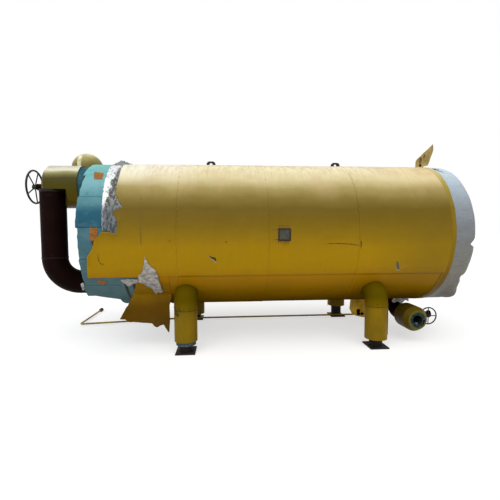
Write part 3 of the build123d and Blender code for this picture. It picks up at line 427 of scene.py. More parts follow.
OVER, UNDER, LOWER_SUNK, SHEET = 1.0, 0.9977, 0.0032, 0.002
NET_PITCH, BEAD_PITCH, BEAD_BACK = 0.03, 0.004, 0.022
COURSES = [(0.0, 1.19, UNDER), (1.14, 2.265, OVER), (2.215, 3.44, UNDER), (3.39, 4.6, OVER)]
LOW, HIGH, LAP, BOTTOM = np.radians([-30.86, 210.86, -28, -152])
TEAR = deg([
    (0.34, 90), (0.345, 80), (0.395, 62), (0.408, 47.7), (0.418, 36.9), (0.42, 30), (0.455, 25.5), (0.492, 22.5),
    (0.515, 20.1), (0.462, 19.0), (0.402, 17.0), (0.43, 13.5), (0.462, 10.6), (0.458, 6), (0.455, 1.7), (0.37, 2.9),
    (0.288, 3.2), (0.245, 0.2), (0.202, -2.5), (0.162, -8.7), (0.108, -13.4), (0.085, -19.2), (0.069, -25.5),
    (0.058, -30.9)])
TEAR_BACK = deg([
    (0.43, 210.9), (0.41, 196.3), (0.46, 177.1), (0.39, 162.5), (0.43, 141.7), (0.36, 115.8), (0.34, 90)])
LOWER_TEAR = deg([(1.02, -90), (0.97, -59.3), (1.0, -46), (1.0, -28)])
LOWER_BACK = deg([(0.62, -152), (0.7, -143), (0.84, -127), (1.02, -90)])
SLIT = deg([(3.903, -19.4), (3.93, -21.1), (3.95, -24.6), (3.969, -26.3), (3.94, -26), (3.91, -23.6)])


def course_net(loop, low, high, radius, start, end, torn=None, fine_x=(), fine_a=(), holes=()):
    """A sheet of a course: almost flat round the tank, a bead near its laps, its torn edge bent up."""
    points, faces = net(loop, steps(start, end, NET_PITCH, fine_x), steps(low, high, NET_PITCH, fine_a), holes)
    gap = np.minimum(points[:, 0] - start, end - points[:, 0])
    lift = 0.0011 * rumple(points, (3.1, 4.3), radius * 50) * np.clip(gap / 0.1, 0, 1) - 0.0008
    lift += 0.003 * np.exp(-((points[:, 0] - end + BEAD_BACK) / 0.006) ** 2) * (radius > 0.99)
    if torn is not None:
        place, far = nearest(points, np.array(torn, float))
        curl = np.clip(rumple(points, (9, 6), 3.0) + 0.35, 0, 1)
        lift += 0.022 * curl * np.exp(-(far / 0.03) ** 1.5)
        lift += 0.004 * np.clip(rumple(points, (14, 9), 8.0), 0, 1) * np.exp(-far / 0.1)
    return round_tank(points, radius + lift), faces


for number, (start, end, radius) in enumerate(COURSES, 1):
    upper_loop = [(start, LOW), (end, LOW), (end, HIGH), (start, HIGH)]
    lower_loop = [(start, BOTTOM), (end, BOTTOM), (end, LAP), (start, LAP)]
    fine = [(end - 0.05, end, BEAD_PITCH)]
    upper_options, lower_options, level = {}, {}, radius - LOWER_SUNK
    if number == 1:
        torn = ragged(TEAR_BACK + TEAR[1:], 0.018, 0.0035, 1.0)
        upper_loop = torn + [(0.5, LOW - 0.001), (end, LOW - 0.001), (end, HIGH)]
        upper_options = {"torn": torn, "fine_a": [(LOW, math.radians(92), 0.0105)]}
        fine = fine + [(0.05, 0.54, 0.009)]
        lower_torn = ragged(LOWER_BACK + LOWER_TEAR[1:], 0.02, 0.004, 2.0)
        lower_loop = lower_torn + [(end, LAP), (end, BOTTOM)]
        lower_options = {"torn": [p for p in lower_torn if p[1] < math.radians(-62)]}
        start = 0.05
    if number == 4:
        upper_options = {"holes": [frayed(SLIT, 0.01, 0.002, 4.0)],
                         "fine_a": [(LAP, math.radians(-17), 0.006)]}
        fine = fine + [(3.88, 3.99, 0.006)]
    nets = [course_net(upper_loop, LOW, HIGH, radius, start, end, fine_x=fine, **upper_options),
            course_net(lower_loop, BOTTOM, LAP, level, start, end, fine_x=fine[:1], **lower_options)]
    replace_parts(piece("course_%d_sheets" % number, nets, yellow, thickness=SHEET),
                "jacket_course_%d" % number)

# The last ring at the right end is newer sheet of a deeper yellow, a little wavy at its free edge, which
# reaches further out at the top.
newer, shader, place = material("end_sheet", 0.1)
clouds = grain(place, 4, 6.0)
# Painted light and shade by height, as on the courses: pale at the top, a darker band above the axis, dark at the
# bottom.
tone = bands(drift(axes(place)["Z"], clouds, 0.05), [
    (-1.0, (0.07, 0.035, 0.001)), (-0.7, (0.17, 0.09, 0.001)), (-0.35, (0.27, 0.155, 0.001)),
    (0.0, (0.25, 0.155, 0.003)), (0.35, (0.2, 0.135, 0.006)), (0.62, (0.33, 0.245, 0.035)),
    (0.85, (0.56, 0.46, 0.17)), (1.0, (0.6, 0.52, 0.3))])
coat(shader, tone, (clouds, 0.34, 0.48), (grain(place, 160, 2.0), 0.0003), (clouds, 0.004))
RING_START, RING_CLOSE = 4.55, math.radians(208)
loop = [(RING_START, BOTTOM), (JACKET_END, BOTTOM), (JACKET_END, RING_CLOSE), (RING_START, RING_CLOSE)]
points, faces = patch(loop, 0.011, 0.02)
free = np.clip((points[:, 0] - 4.6) / 0.06, 0, 1)
wave = 0.004 * rumple(points, (2, 7), 9.0) * free
points[:, 0] += free * (0.05 * np.clip(np.sin(points[:, 1]), 0, 1) ** 3 - 0.008 * np.cos(points[:, 1])
                        + 0.003 * rumple(points, (0, 16), 3.0))
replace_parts(piece("end_ring", [(round_tank(points, UNDER + wave), faces)], newer, thickness=SHEET),
            "jacket_trim")

# Pop rivets hold the laps: aluminium blind rivets with a shallow round head, set every 12 cm or so through
# both sheets and painted over with them, so that little more than their shadow shows.
rivet_metal = worn("rivet_metal", (0.24, 0.14, 0.008), (0.34, 0.205, 0.02), 30, 0.5, gloss=0.15)
RIVET_RADIUS, RIVET_RISE, RIVET_SUNK, RIVET_SIDES = 0.0055, 0.0022, 0.0006, 8
ring = np.linspace(0, 2 * math.pi, RIVET_SIDES + 1)[:-1]


def rivet(x, angle, radius):
    """A low domed head on the tank."""
    rows = [(RIVET_RADIUS, 0.0), (RIVET_RADIUS * 0.85, 0.6), (RIVET_RADIUS * 0.45, 0.95)]
    flat = [(x + r * math.cos(t), angle + r * math.sin(t), h) for r, h in rows for t in ring]
    flat = np.array(flat + [(x, angle, 1.0)])
    top, last = len(flat) - 1, len(flat) - 1 - RIVET_SIDES
    faces = strips(3, RIVET_SIDES, closed=True)
    faces += [(last + n, last + (n + 1) % RIVET_SIDES, top) for n in range(RIVET_SIDES)]
    return round_tank(flat[:, :2], radius + RIVET_RISE * flat[:, 2] - RIVET_SUNK), faces


nets = []
for seam in (1.155, 2.25, 3.405, 4.585):
    for angle in np.arange(-24, 205, 7.2):
        nets.append(rivet(seam, math.radians(angle), OVER))
for start, end, radius in COURSES:
    for x in np.arange(start + 0.12, end - 0.05, 0.13):
        if x > 0.75:
            nets.append(rivet(x, math.radians(-29.4), radius))
        nets.append(rivet(x, math.radians(209.4), radius))
piece("jacket_rivets", nets, rivet_metal)

# The vapour barrier under the jacket is aluminium foil on paper. Where the sheet has torn off it hangs
# loose over the foam, creased round the tank, and its folded edge stands up in a ridge at the top.
silver, shader, place = material("foil", 0.4)
creases = grain(place, 16, 6.0, (2.2, 1, 1), 0.7)
shine = grain(place, 9, 6.0, (3, 1, 1), 0.7)
split = axes(place)
# The foil's colour is painted reflection: bright and dark streaks follow the shine pattern.
tone = mix(span(shine, 0.5, 0.62), (0.82, 0.84, 0.85), (0.14, 0.15, 0.16))
# Painted shade: dimmer right of a slanting line beside the torn jacket edge, greyer high on the right, darker over
# the lower part.
slant = sums("ADD", split["X"], shares(split["Z"], -0.09))
slant = drift(slant, creases, 0.035)
dim = mix(span(creases, 0.45, 0.55), (0.22, 0.23, 0.21), (0.05, 0.05, 0.042))
tone = mix(span(slant, 0.262, 0.288), tone, dim)
tall = shares(span(slant, 0.318, 0.345, 0.0, 0.9), span(split["Z"], 0.72, 0.82))
tone = mix(tall, tone, mix(span(shine, 0.44, 0.6), (0.5, 0.5, 0.47), (0.13, 0.13, 0.115)))
painted_low_shade = span(split["Z"], 0.42, 0.3, 0.0, 0.75)
tone = mix(painted_low_shade, tone, mix(span(creases, 0.42, 0.6), (0.115, 0.135, 0.155), (0.035, 0.042, 0.052)))
feed(shader, "Metallic", 0.35)
coat(shader, tone, (shine, 0.3, 0.55), (creases, 0.012), (grain(place, 70, 4.0), 0.003))
FOIL_SHEET, FOIL_LEVEL, RIDGE_LEVEL = 0.0008, 0.9922, 0.9935
FOIL = deg([(0.54, 2), (0.54, 178)]) + ragged(deg([
    (0.27, 177), (0.27, 168), (0.2, 150), (0.24, 127), (0.216, 90), (0.216, 80), (0.245, 51), (0.256, 38),
    (0.274, 20), (0.277, 10), (0.286, 2.5), (0.33, 3.6), (0.4, 2.2), (0.46, 0.4)]), 0.012, 0.003, 5.0)
points, faces = net(FOIL, steps(0.19, 0.54, 0.006), steps(0, math.pi, 0.04, [(0, math.radians(100), 0.009)]))
far = nearest(points, np.array(TEAR_BACK + TEAR[1:]))[1]
covered = deg([(0.34, 90)]) + TEAR[1:17] + deg([(1, 1), (1, 90)])
bare = ~inside(points, np.array(covered))
room = np.clip(far / 0.05, 0, 1) * bare
crease = np.abs(rumple(points, (26, 5), 1.0)) * 0.014 + np.abs(rumple(points, (60, 16), 2.0)) * 0.006
sheet = (round_tank(points, FOIL_LEVEL + crease * room), faces)
points, faces = patch(deg([(0.215, 70), (0.43, 71), (0.425, 102), (0.22, 104)]), 0.005, 0.008)
crest = np.interp(points[:, 0], [0.215, 0.24, 0.26, 0.303, 0.325, 0.34, 0.374, 0.4, 0.43],
                  [0.002, 0.016, 0.036, 0.058, 0.052, 0.034, 0.034, 0.018, 0.01])
middle = np.clip(1 - ((np.degrees(points[:, 1]) - 86) / 15.5) ** 2, 0, 1) ** 0.5
fold = crest * middle * (0.8 + 0.5 * rumple(points, (30, 22), 4.0)) + 0.004 * rumple(points, (90, 70), 6.0)
ridge = (round_tank(points, RIDGE_LEVEL + fold), faces)
dull = worn("folded_foil", (0.1, 0.11, 0.11), (0.36, 0.38, 0.37), 26, 0.5, 0.004, 60, 0.35)
piece("foil_ridge", [ridge], dull, thickness=FOIL_SHEET)
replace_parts(piece("loose_foil", [sheet], silver, thickness=FOIL_SHEET), "foil_barrier")

# Torn white membrane: the second vapour barrier, a stiff coated film that has been ripped down with the lower
# sheet. A large tongue and small scraps hang over the yellow edge, wrinkled and grey with dust.
cloth, shader, place = material("torn_membrane", 0.2)
folds = grain(place, 14, 5.0, (1, 1, 2))
tone = mix(span(folds, 0.35, 0.65), (0.26, 0.24, 0.205), (0.6, 0.575, 0.53))
coat(shader, tone, 0.7, (folds, 0.02), (grain(place, 60, 3.0), 0.003))


def upright(points, depth):
    """Places on an upright sheet from lengths, heights and how far behind the axis it stands."""
    return np.stack([points[:, 0], depth, points[:, 1]], 1)


def heights(path):
    """A path of lengths and heights on the jacket turned into lengths and angles."""
    return [(x, math.asin(z)) for x, z in path]


tongue = frayed(heights([
    (0.768, -0.241), (0.8, -0.33), (0.845, -0.375), (0.885, -0.411), (0.9, -0.5), (0.915, -0.6), (0.929, -0.712),
    (0.9, -0.735), (0.87, -0.72), (0.835, -0.75), (0.8, -0.665), (0.765, -0.65), (0.72, -0.6), (0.655, -0.562),
    (0.67, -0.48), (0.72, -0.43), (0.75, -0.33)]), 0.012, 0.005, 7.0)
scrap = frayed(heights([
    (0.44, -0.535), (0.655, -0.53), (0.64, -0.575), (0.58, -0.6), (0.545, -0.615), (0.52, -0.645), (0.49, -0.6),
    (0.455, -0.575)]), 0.012, 0.005, 8.0)
FILM, TONGUE_LEVEL, SCRAP_LEVEL, UNDER_PLANE = 0.0015, 1.007, 1.0005, -0.306
nets = []
for loop, level in ((tongue, TONGUE_LEVEL), (scrap, SCRAP_LEVEL)):
    points, faces = patch(loop, 0.008)
    lift = 0.016 * np.abs(rumple(points, (15, 9), 11.0)) + 0.006 * rumple(points, (40, 30), 12.0)
    nets.append((round_tank(points, level + lift), faces))
under = frayed([
    (4.19, -0.93), (4.17, -0.985), (4.2, -1.02), (4.25, -0.99), (4.31, -1.03), (4.38, -0.98), (4.43, -1.0),
    (4.42, -0.93)], 0.012, 0.004, 9.0)
points, faces = net(under, steps(4.16, 4.44, 0.009), steps(-1.04, -0.93, 0.009))
lift = 0.012 * rumple(points, (18, 25), 13.0)
nets.append((upright(points, UNDER_PLANE + lift), faces))
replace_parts(piece("membrane_scraps", nets, cloth, thickness=FILM), "torn_membranes")

# Peeled lower sheet: the first course's lower half has torn along its lap and hangs straight down beside
# the front leg, still held at the top. Its coating is scratched and its free corners are bent.
FLAP = [
    (0.655, -0.5), (0.6, -0.64), (0.55, -0.74), (0.5, -0.838), (0.455, -0.92), (0.417, -0.986), (0.36, -1.082),
    (0.42, -1.085), (0.481, -1.121), (0.6, -1.13), (0.779, -1.146), (0.8, -1.18), (0.835, -1.195), (0.87, -1.175),
    (0.918, -1.167), (0.955, -1.225), (0.99, -1.29), (1.0, -1.1), (0.998, -0.911), (1.03, -0.8), (1.03, -0.5)]
FLAP_LEVEL, FLAP_PLANE = 0.9958, 0.64
leave = -math.sqrt(FLAP_LEVEL ** 2 - FLAP_PLANE ** 2)


def flap_bend(points):
    """How the sheet waves out of its plane below the place where it leaves the tank."""
    return 0.02 * rumple(points, (4, 5), 15.0) * np.clip((leave - points[:, 1]) / 0.2, 0, 1)


points, faces = net(frayed(FLAP, 0.02, 0.003, 10.0), steps(0.35, 1.032, 0.012), steps(-1.3, -0.5, 0.012))
side = -np.sqrt(np.clip(FLAP_LEVEL ** 2 - points[:, 1] ** 2, FLAP_PLANE ** 2, None))
far = nearest(points, np.array(FLAP[:17]))[1]
curl = 0.03 * np.exp(-far / 0.04) * np.clip(rumple(points, (8, 8), 16.0) + 0.2, 0, 1)
shape = upright(points, side + flap_bend(points) - curl * np.clip((leave - points[:, 1]) / 0.1, 0, 1))
peeled, shader, place = material("peeled_sheet", 0.08)
clouds = grain(place, 3, 7.0, (1, 1, 0.6))
# Painted light and shade by height, carried on from the jacket: golden where the sheet leaves the tank, darkening
# towards its bottom edge.
tone = bands(drift(axes(place)["Z"], clouds, 0.05), [
    (-1.3, (0.085, 0.04, 0.0)), (-1.1, (0.105, 0.049, 0.0)), (-0.9, (0.135, 0.063, 0.0)),
    (-0.82, (0.19, 0.095, 0.0)), (-0.72, (0.285, 0.148, 0.0)), (-0.6, (0.32, 0.152, 0.0)),
    (-0.5, (0.45, 0.212, 0.0))])
coat(shader, tone, (clouds, 0.42, 0.6), (grain(place, 120, 2.0), 0.0004), (clouds, 0.006))
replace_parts(piece("peeled_flap", [(shape, faces)], peeled, thickness=SHEET), "hanging_flap")

# Corner of the last course: the same thin sheet, ripped free of its rivets at the top and bent up like an ear. It is
# creased across its middle, with a torn hole, drawn as a near-black patch of painted shade, and rust where the
# coating has flaked off.
EAR = [
    (4.532, 0.972), (4.536, 1.03), (4.548, 1.085), (4.6, 1.135), (4.648, 1.192), (4.71, 1.25), (4.775, 1.311),
    (4.779, 1.23), (4.769, 1.16), (4.752, 1.069), (4.728, 1.006), (4.66, 0.992), (4.65, 0.972)]
EAR_FOOT, EAR_PLANE, MARK_PLANE = 0.97, -0.206, -0.2105


def on_ear(points, plane):
    """Places on the bent corner, which leans forward and waves as it rises."""
    rise = points[:, 1] - EAR_FOOT
    return upright(points, plane - 0.06 * rise + 0.018 * np.sin(rise * 18) + 0.008 * rumple(points, (22, 16), 17.0))


points, faces = net(frayed(EAR, 0.015, 0.002, 12.0), steps(4.525, 4.785, 0.007), steps(0.965, 1.315, 0.007))
ear_paint = worn("bent_sheet", (0.46, 0.34, 0.115), (0.3, 0.205, 0.06), 9, 0.45, 0.002)
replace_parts(piece("bent_ear", [(on_ear(points, EAR_PLANE), faces)], ear_paint, thickness=SHEET),
            "lifted_flap")
spots = []
for x, z, wide, tall in ((4.607, 1.006, 0.02, 0.022), (4.612, 1.075, 0.017, 0.045), (4.66, 1.13, 0.01, 0.03)):
    loop = [(x + wide * math.cos(t) * (1 + 0.35 * noise.noise(Vector((t, x * 9, 1)))), z + tall * math.sin(t))
            for t in np.radians(np.arange(0, 360, 24))]
    points, faces = net(loop, steps(x - 0.03, x + 0.03, 0.004), steps(z - 0.06, z + 0.06, 0.004))
    spots.append((on_ear(points, MARK_PLANE), faces))
# The hole is a near-black patch: painted shade where the sheet is open.
ear_hole = worn("ear_hole", (0.01, 0.008, 0.006), (0.02, 0.014, 0.008), 40, 0.9)
ear_rust = worn("ear_rust", (0.13, 0.07, 0.022), (0.2, 0.125, 0.04), 40, 0.8)
piece("ear_hole", spots[:1], ear_hole)
piece("ear_rust", spots[1:], ear_rust)

# Right end: foam under a white coated membrane drawn over the end and taped down. It is smooth above, where painted
# light makes its colour blue-white, and its colour is painted greyer and darker lower down; below, the foam under it
# has crumbled and it hangs in wrinkles, stained by drips.
skin, shader, place = material("end_membrane", 0.25)
split = axes(place)
folds = grain(place, 5, 6.0, (1, 1.6, 1.6), 0.65)
drips = grain(place, 4, 6.0, (1, 6, 0.5), 0.7)
# Painted light by height: blue-white at the top, greyer and darker lower down.
tone = bands(split["Z"], [
    (-1.0, (0.17, 0.165, 0.135)), (-0.5, (0.25, 0.24, 0.2)), (-0.1, (0.21, 0.22, 0.22)), (0.1, (0.205, 0.22, 0.24)),
    (0.35, (0.25, 0.28, 0.315)), (0.6, (0.37, 0.435, 0.5)), (0.8, (0.5, 0.6, 0.68)), (1.0, (0.6, 0.69, 0.75))])
low_dirt = shares(span(drips, 0.5, 0.68), span(split["Z"], 0.2, -0.3, 0.12, 0.5))
tone = mix(low_dirt, tone, (0.17, 0.15, 0.11))
coat(shader, tone, 0.5, (folds, 0.03), (grain(place, 22, 5.0), 0.006))
HEAD_SIDE, KNUCKLE, KNUCKLE_OUT, CROWN_TURN = 4.858, 0.09, 0.9008, math.radians(24)
profile = [(x, KNUCKLE_OUT + KNUCKLE) for x in np.linspace(4.56, HEAD_SIDE, 13)]
profile += [(HEAD_SIDE + KNUCKLE * math.sin(t), KNUCKLE_OUT + KNUCKLE * math.cos(t))
            for t in np.radians(np.linspace(8, 66, 9))]
crown = KNUCKLE + KNUCKLE_OUT / math.sin(CROWN_TURN)
crown_x = HEAD_SIDE - (crown - KNUCKLE) * math.cos(CROWN_TURN)
profile += [(crown_x + crown * math.cos(t), crown * math.sin(t)) for t in np.radians(np.linspace(23, 0.4, 26))]
profile = np.array(profile)
rows, turns = len(profile), 150
around = np.radians(np.linspace(0, 360, turns, endpoint=False))
flat = np.array([(n, t) for n in range(rows) for t in around])
index = flat[:, 0].astype(int)
x, r = profile[index, 0], profile[index, 1]
low_side = np.clip((-np.sin(flat[:, 1]) - 0.1) / 0.7, 0, 1)
unit = np.stack([x * 3, -r * np.cos(flat[:, 1]) * 3, r * np.sin(flat[:, 1]) * 3], 1)
wrinkle = np.array([noise.noise(Vector(p)) for p in unit])
small = np.array([noise.noise(Vector(p * 3.5)) for p in unit])
free = np.clip((x - JACKET_END) / 0.12, 0, 1)
angle = (flat[:, 1] + math.pi) % (2 * math.pi) - math.pi
below = np.degrees(angle)
dent = (-0.012 * low_side * np.clip(wrinkle + 0.4, 0, 1) - 0.016 * low_side * np.abs(small)
        + 0.004 * wrinkle + 0.002 * small) * free
outer = np.clip((r - 0.5) / 0.4, 0, 1)
bag = 0.06 * np.exp(-((below + 59) / 9.5) ** 2) * np.clip((x - 4.8) / 0.1, 0, 1) * outer
bag -= 0.03 * np.exp(-((below + 38) / 3.0) ** 2) * (x > 4.86) * outer
notch = 0.075 * np.exp(-((below + 6.8) / 1.5) ** 2 - ((x - 4.94) / 0.05) ** 2)
r_new = r + (dent + bag - 0.7 * notch) * (r > 0.3)
x_new = x + (dent * 0.6 + bag * 0.9 - notch) * free
shape = np.stack([x_new, -r_new * np.cos(angle), r_new * np.sin(angle)], 1)
faces = strips(rows, turns, closed=True) + [tuple((rows - 1) * turns + b for b in range(turns))]
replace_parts(piece("end_membrane", [(shape, faces)], skin, thickness=FILM), "right_head_membrane",
            "right_head_insulation")

# Legs: pipe elbows under foam and sheet. Each jacket is three plain pieces of the same yellow sheet, an
# elbow and a sleeve with a raised lip between them; its seam is scraped where the pieces meet.
leg_paint, shader, place = material("leg_jacket", 0.08)
height = axes(place)["Z"]
feed(shader, "Specular IOR Level", span(height, -1.0, -0.88, 0.08, 0.0))
clouds = grain(place, 4, 8.0, (1, 1, 0.6))
tone = mix(span(clouds, 0.35, 0.68), (0.255, 0.156, 0.003), (0.175, 0.11, 0.005))
# Painted shade: the legs are painted darker towards their tops, under the tank.
tone = mix(span(height, -0.98, -0.78, smooth=True), tone, (0.1, 0.068, 0.001))
seam_gap = sums("ABSOLUTE", sums("ADD", height, 0.9255), 0.0)
tone = mix(span(seam_gap, 0.0055, 0.003, 0.0, 0.75), tone, (0.03, 0.02, 0.004))
scrape = span(grain(place, 30, 4.0, (1, 1, 4)), 0.6, 0.66)
near_lip = sums("COMPARE", height, -0.9)
feed(near_lip.node, 2, 0.03)
tone = mix(shares(scrape, near_lip), tone, (0.02, 0.014, 0.008))
coat(shader, tone, (clouds, 0.36, 0.55), (grain(place, 120, 2.0), 0.0004), (clouds, 0.004))
dress(leg_paint, "leg_jackets")

# Each leg sleeve is a sheet rolled round the foam, closed by a lap strip of the same sheet that is bonded
# over the joint down its side. The front left one shows it plainly.
LEGS = [(1.225, -0.818), (3.702, -0.818), (1.225, 0.818), (3.702, 0.818)]
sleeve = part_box("leg_jackets")
SLEEVE_RADIUS = (sleeve[1][0] - ORIGIN.x) - LEGS[1][0]
STRIP_FOOT, STRIP_TOP = -1.31, -0.905
nets = []
for leg_x, leg_y in LEGS:
    side = 18 if leg_y < 0 else 198
    points = []
    for z in np.linspace(STRIP_FOOT, STRIP_TOP, 24):
        for n, t in enumerate(np.radians(np.linspace(side - 9, side + 9, 7))):
            out = SLEEVE_RADIUS + (0.0028 if 0 < n < 6 else 0.0004) + 0.0006 * noise.noise(Vector((z * 9, n, leg_x)))
            points.append((leg_x + out * math.cos(t), leg_y - out * math.sin(t), z))
    nets.append((np.array(points), strips(24, 7)))
piece("leg_lap_strips", nets, leg_paint)

# The front left leg has been struck. Torn scrapes run down its left side, where the yellow coating is gone
# and dirt has filled the dents in the sheet.
SCRAPE_RADIUS = SLEEVE_RADIUS + 0.0007
nets = []
SCRAPES = [
    [(-64, -0.862), (-50, -0.9), (-38, -0.938), (-25, -0.97), (-27, -0.978), (-41, -0.952), (-55, -0.917)],
    [(-68, -0.925), (-46, -0.96), (-30, -0.983), (-33, -0.992), (-50, -0.977), (-68, -0.945)],
    [(-31, -0.872), (-24, -0.9), (-19, -0.926), (-22, -0.93), (-28, -0.906)]]
for seed, loop in enumerate(SCRAPES):
    loop = frayed([(math.radians(t), z) for t, z in loop], 0.01, 0.002, seed + 60.0)
    points, faces = patch(loop, 0.02, 0.003)
    nets.append((np.stack([LEGS[0][0] + SCRAPE_RADIUS * np.sin(points[:, 0]),
                           LEGS[0][1] - SCRAPE_RADIUS * np.cos(points[:, 0]), points[:, 1]], 1), faces))
scrape_dirt = worn("leg_scrape", (0.022, 0.016, 0.008), (0.05, 0.036, 0.014), 60, 0.8, 0.001)
piece("leg_scrapes", nets, scrape_dirt)

# Sump jacket: a newer piece of the same coated sheet behind the right legs, drawn round a foam cone. Its colour is
# painted much brighter than theirs, as a painted highlight where sunlight reaches it.
sump_paint = worn("sump_sheet", (0.9, 0.53, 0.035), (0.42, 0.24, 0.01), 5, 0.4, gloss=0.1)
dress(sump_paint, "sump_jacket")

# Outlet jacket: the same sheet over foam, flared round the pipe and turned in at the open end; it hangs in the tank's
# shade, which is painted into its dark colour, browner on its sides. A band just behind its open end is painted
# darker still as painted shade, and the open end is painted lighter as painted light.
outlet_paint, shader, place = material("outlet_sheet", 0.1)
split = axes(place)
clouds = grain(place, 7, 7.0)
tone = mix(span(clouds, 0.35, 0.65), (0.12, 0.084, 0.006), (0.08, 0.06, 0.003))
# Painted shade on the band behind the open end, then painted light on the open end.
tone = mix(span(split["Y"], -0.69, -0.7), mix(0.5, tone, (0.035, 0.018, 0.002)), tone)
tone = mix(span(split["Y"], -0.766, -0.774), tone, (0.135, 0.098, 0.006))
coat(shader, tone, (clouds, 0.38, 0.55), (grain(place, 120, 2.0), 0.0004), (clouds, 0.004))
dress(outlet_paint, "outlet_jacket")

# Drain line: galvanised pipe that runs low under the tank, screwed together at its knee and its cap. Its
# yellow paint has worn to a dull olive grey.
line_paint = worn("drain_paint", (0.42, 0.29, 0.045), (0.22, 0.15, 0.022), 11, 0.5)
dress(line_paint, "drain_pipe")

# Upper left valve: drums and an elbow of olive-yellow sheet rolled over foam and closed by laps. Their colour is
# painted by the way each face looks: a painted highlight on the faces that turn up, painted shade on their sides and
# browner faces below, with dusty patches.


def facing(place):
    """How far each part of a surface looks up, from -1 to 1."""
    return axes(shade(place.id_data, "NewGeometry").outputs["Normal"])["Z"]


box_paint, shader, place = material("valve_jacket", 0.1)
clouds = grain(place, 3, 8.0)
# Painted light and shade by the way each face looks up.
tone = bands(drift(facing(place), clouds, 0.06), [
    (-1.0, (0.1, 0.055, 0.0)), (-0.79, (0.155, 0.09, 0.0)), (-0.4, (0.1, 0.068, 0.0)),
    (-0.15, (0.079, 0.063, 0.0)), (0.0, (0.072, 0.058, 0.001)), (0.15, (0.065, 0.054, 0.004)),
    (0.3, (0.06, 0.05, 0.006)), (0.44, (0.13, 0.115, 0.03)), (0.59, (0.29, 0.27, 0.112)),
    (0.74, (0.8, 0.79, 0.58)), (0.88, (0.62, 0.61, 0.5)), (1.0, (0.5, 0.48, 0.36))])
tone = mix(span(clouds, 0.5, 0.78, 0.0, 0.2), tone, (0.1, 0.07, 0.02))
coat(shader, tone, (clouds, 0.3, 0.45), (grain(place, 120, 2.0), 0.0004), (clouds, 0.006))
dress(box_paint, "left_valve_jacket")

# Behind the valve the pipe turns up under a domed cover: two pressed halves of the same sheet with a lap over the
# top. Its colour is painted by the way each face looks, with painted sunlight on the upper faces, and the lap is
# painted pale cream as a painted highlight.
dome_paint, shader, place = material("dome_sheet", 0.15)
clouds = grain(place, 6, 7.0)
# Painted light and shade by the way each face looks up.
tone = bands(drift(facing(place), clouds, 0.1), [
    (-1.0, (0.06, 0.04, 0.001)), (-0.2, (0.14, 0.1, 0.01)), (0.25, (0.23, 0.19, 0.05)),
    (0.6, (0.35, 0.305, 0.11)), (0.85, (0.55, 0.51, 0.25)), (1.0, (0.68, 0.64, 0.42))])
coat(shader, tone, (clouds, 0.3, 0.45), (grain(place, 120, 2.0), 0.0004), (clouds, 0.006))
dress(dome_paint, "back_pipe_jacket")

DOME, DOME_RADIUS, LAP_OFFSET = Vector((-0.41, 0.53, 1.027)), 0.231, 0.075
points = []
for t in np.radians(np.linspace(-82, 178, 66)):
    for off, lift in ((-0.005, -0.0015), (-0.002, 0.0025), (0.057, 0.0025), (0.06, -0.0015)):
        reach = math.sqrt(DOME_RADIUS ** 2 - (LAP_OFFSET - off) ** 2) + lift
        points.append((DOME.x - LAP_OFFSET + off, DOME.y - reach * math.cos(t), DOME.z + reach * math.sin(t)))
# The lap's pale cream is a painted highlight.
lap_highlight_paint = worn("lap_highlight", (0.86, 0.82, 0.58), (0.5, 0.44, 0.24), 18, 0.42, 0.001)
piece("dome_seam", [(np.array(points), strips(66, 4))], lap_highlight_paint)

# Riser, outlet elbow, small valve and couplings: steel painted dark red-brown, near black in the shade, with
# rust showing through in flecks. The lower branch and the outlet pipe are painted black.
maroon, shader, place = material("dark_paint", 0.03)
clouds = grain(place, 5, 8.0)
flecks = span(grain(place, 60, 4.0), 0.68, 0.74)
tone = mix(span(clouds, 0.4, 0.7), (0.0065, 0.002, 0.0015), (0.0115, 0.0034, 0.0022))
tone = mix(shares(flecks, 0.6), tone, (0.06, 0.02, 0.009))
coat(shader, tone, (clouds, 0.45, 0.65), (grain(place, 120, 3.0), 0.0006), (clouds, 0.002))
dress(maroon, "riser_pipe", "outlet_elbow_jacket", "side_valve", "left_valve_bonnet", "sump_couplings")
soot = worn("black_paint", (0.009, 0.008, 0.007), (0.024, 0.018, 0.014), 5, 0.6, 0.0015, gloss=0.15)
dress(soot, "lower_branch", "outlet_pipe")

# Handwheels: cast iron rims and spokes in black enamel, held on their stems by a nut. Hands have rubbed the
# enamel thin along the rim.
enamel = worn("wheel_enamel", (0.008, 0.008, 0.007), (0.02, 0.017, 0.013), 25, 0.45, 0.0006, gloss=0.3)
dress(enamel, "left_handwheel", "right_handwheel")

# The riser's top is sealed against the valve jacket with black mastic, put on by hand, so its edge is
# uneven; a few pale scuffs cross the paint below it.
RISER, RISER_RADIUS = Vector((-0.582, -0.275, 0.612)), 0.162


def on_riser(points, radius):
    """Places on the riser from a height and an angle round it, counted from the front."""
    z, t = points[:, 0], points[:, 1]
    return np.stack([RISER.x + radius * np.sin(t), RISER.y - radius * np.cos(t), z], 1)


points = []
for t in np.radians(np.linspace(-178, 178, 140)):
    top = 0.0035 + 0.005 * noise.noise(Vector((t * 4, 3, 1))) + 0.0045 * noise.noise(Vector((t * 13, 5, 2)))
    for z, out in ((-0.034, 0.0004), (-0.03, 0.0026), (-0.01, 0.0034), (0.0, 0.0028), (top, 0.0012)):
        points.append((RISER.z + z, t, RISER_RADIUS + out + 0.0008 * noise.noise(Vector((t * 9, z * 90, 4)))))
flat = np.array(points)
mastic = worn("mastic", (0.006, 0.004, 0.004), (0.014, 0.009, 0.007), 30, 0.5, 0.003, gloss=0.2)
piece("riser_mastic", [(on_riser(flat[:, :2], flat[:, 2]), strips(140, 5))], mastic)
nets = []
SCUFFS = [(0.53, -8, 0.006, 26), (0.575, 33, 0.012, 5), (0.243, 12, 0.005, 5), (0.236, -3, 0.004, 6),
          (-0.27, 6, 0.005, 8), (-0.405, 16, 0.006, 3)]
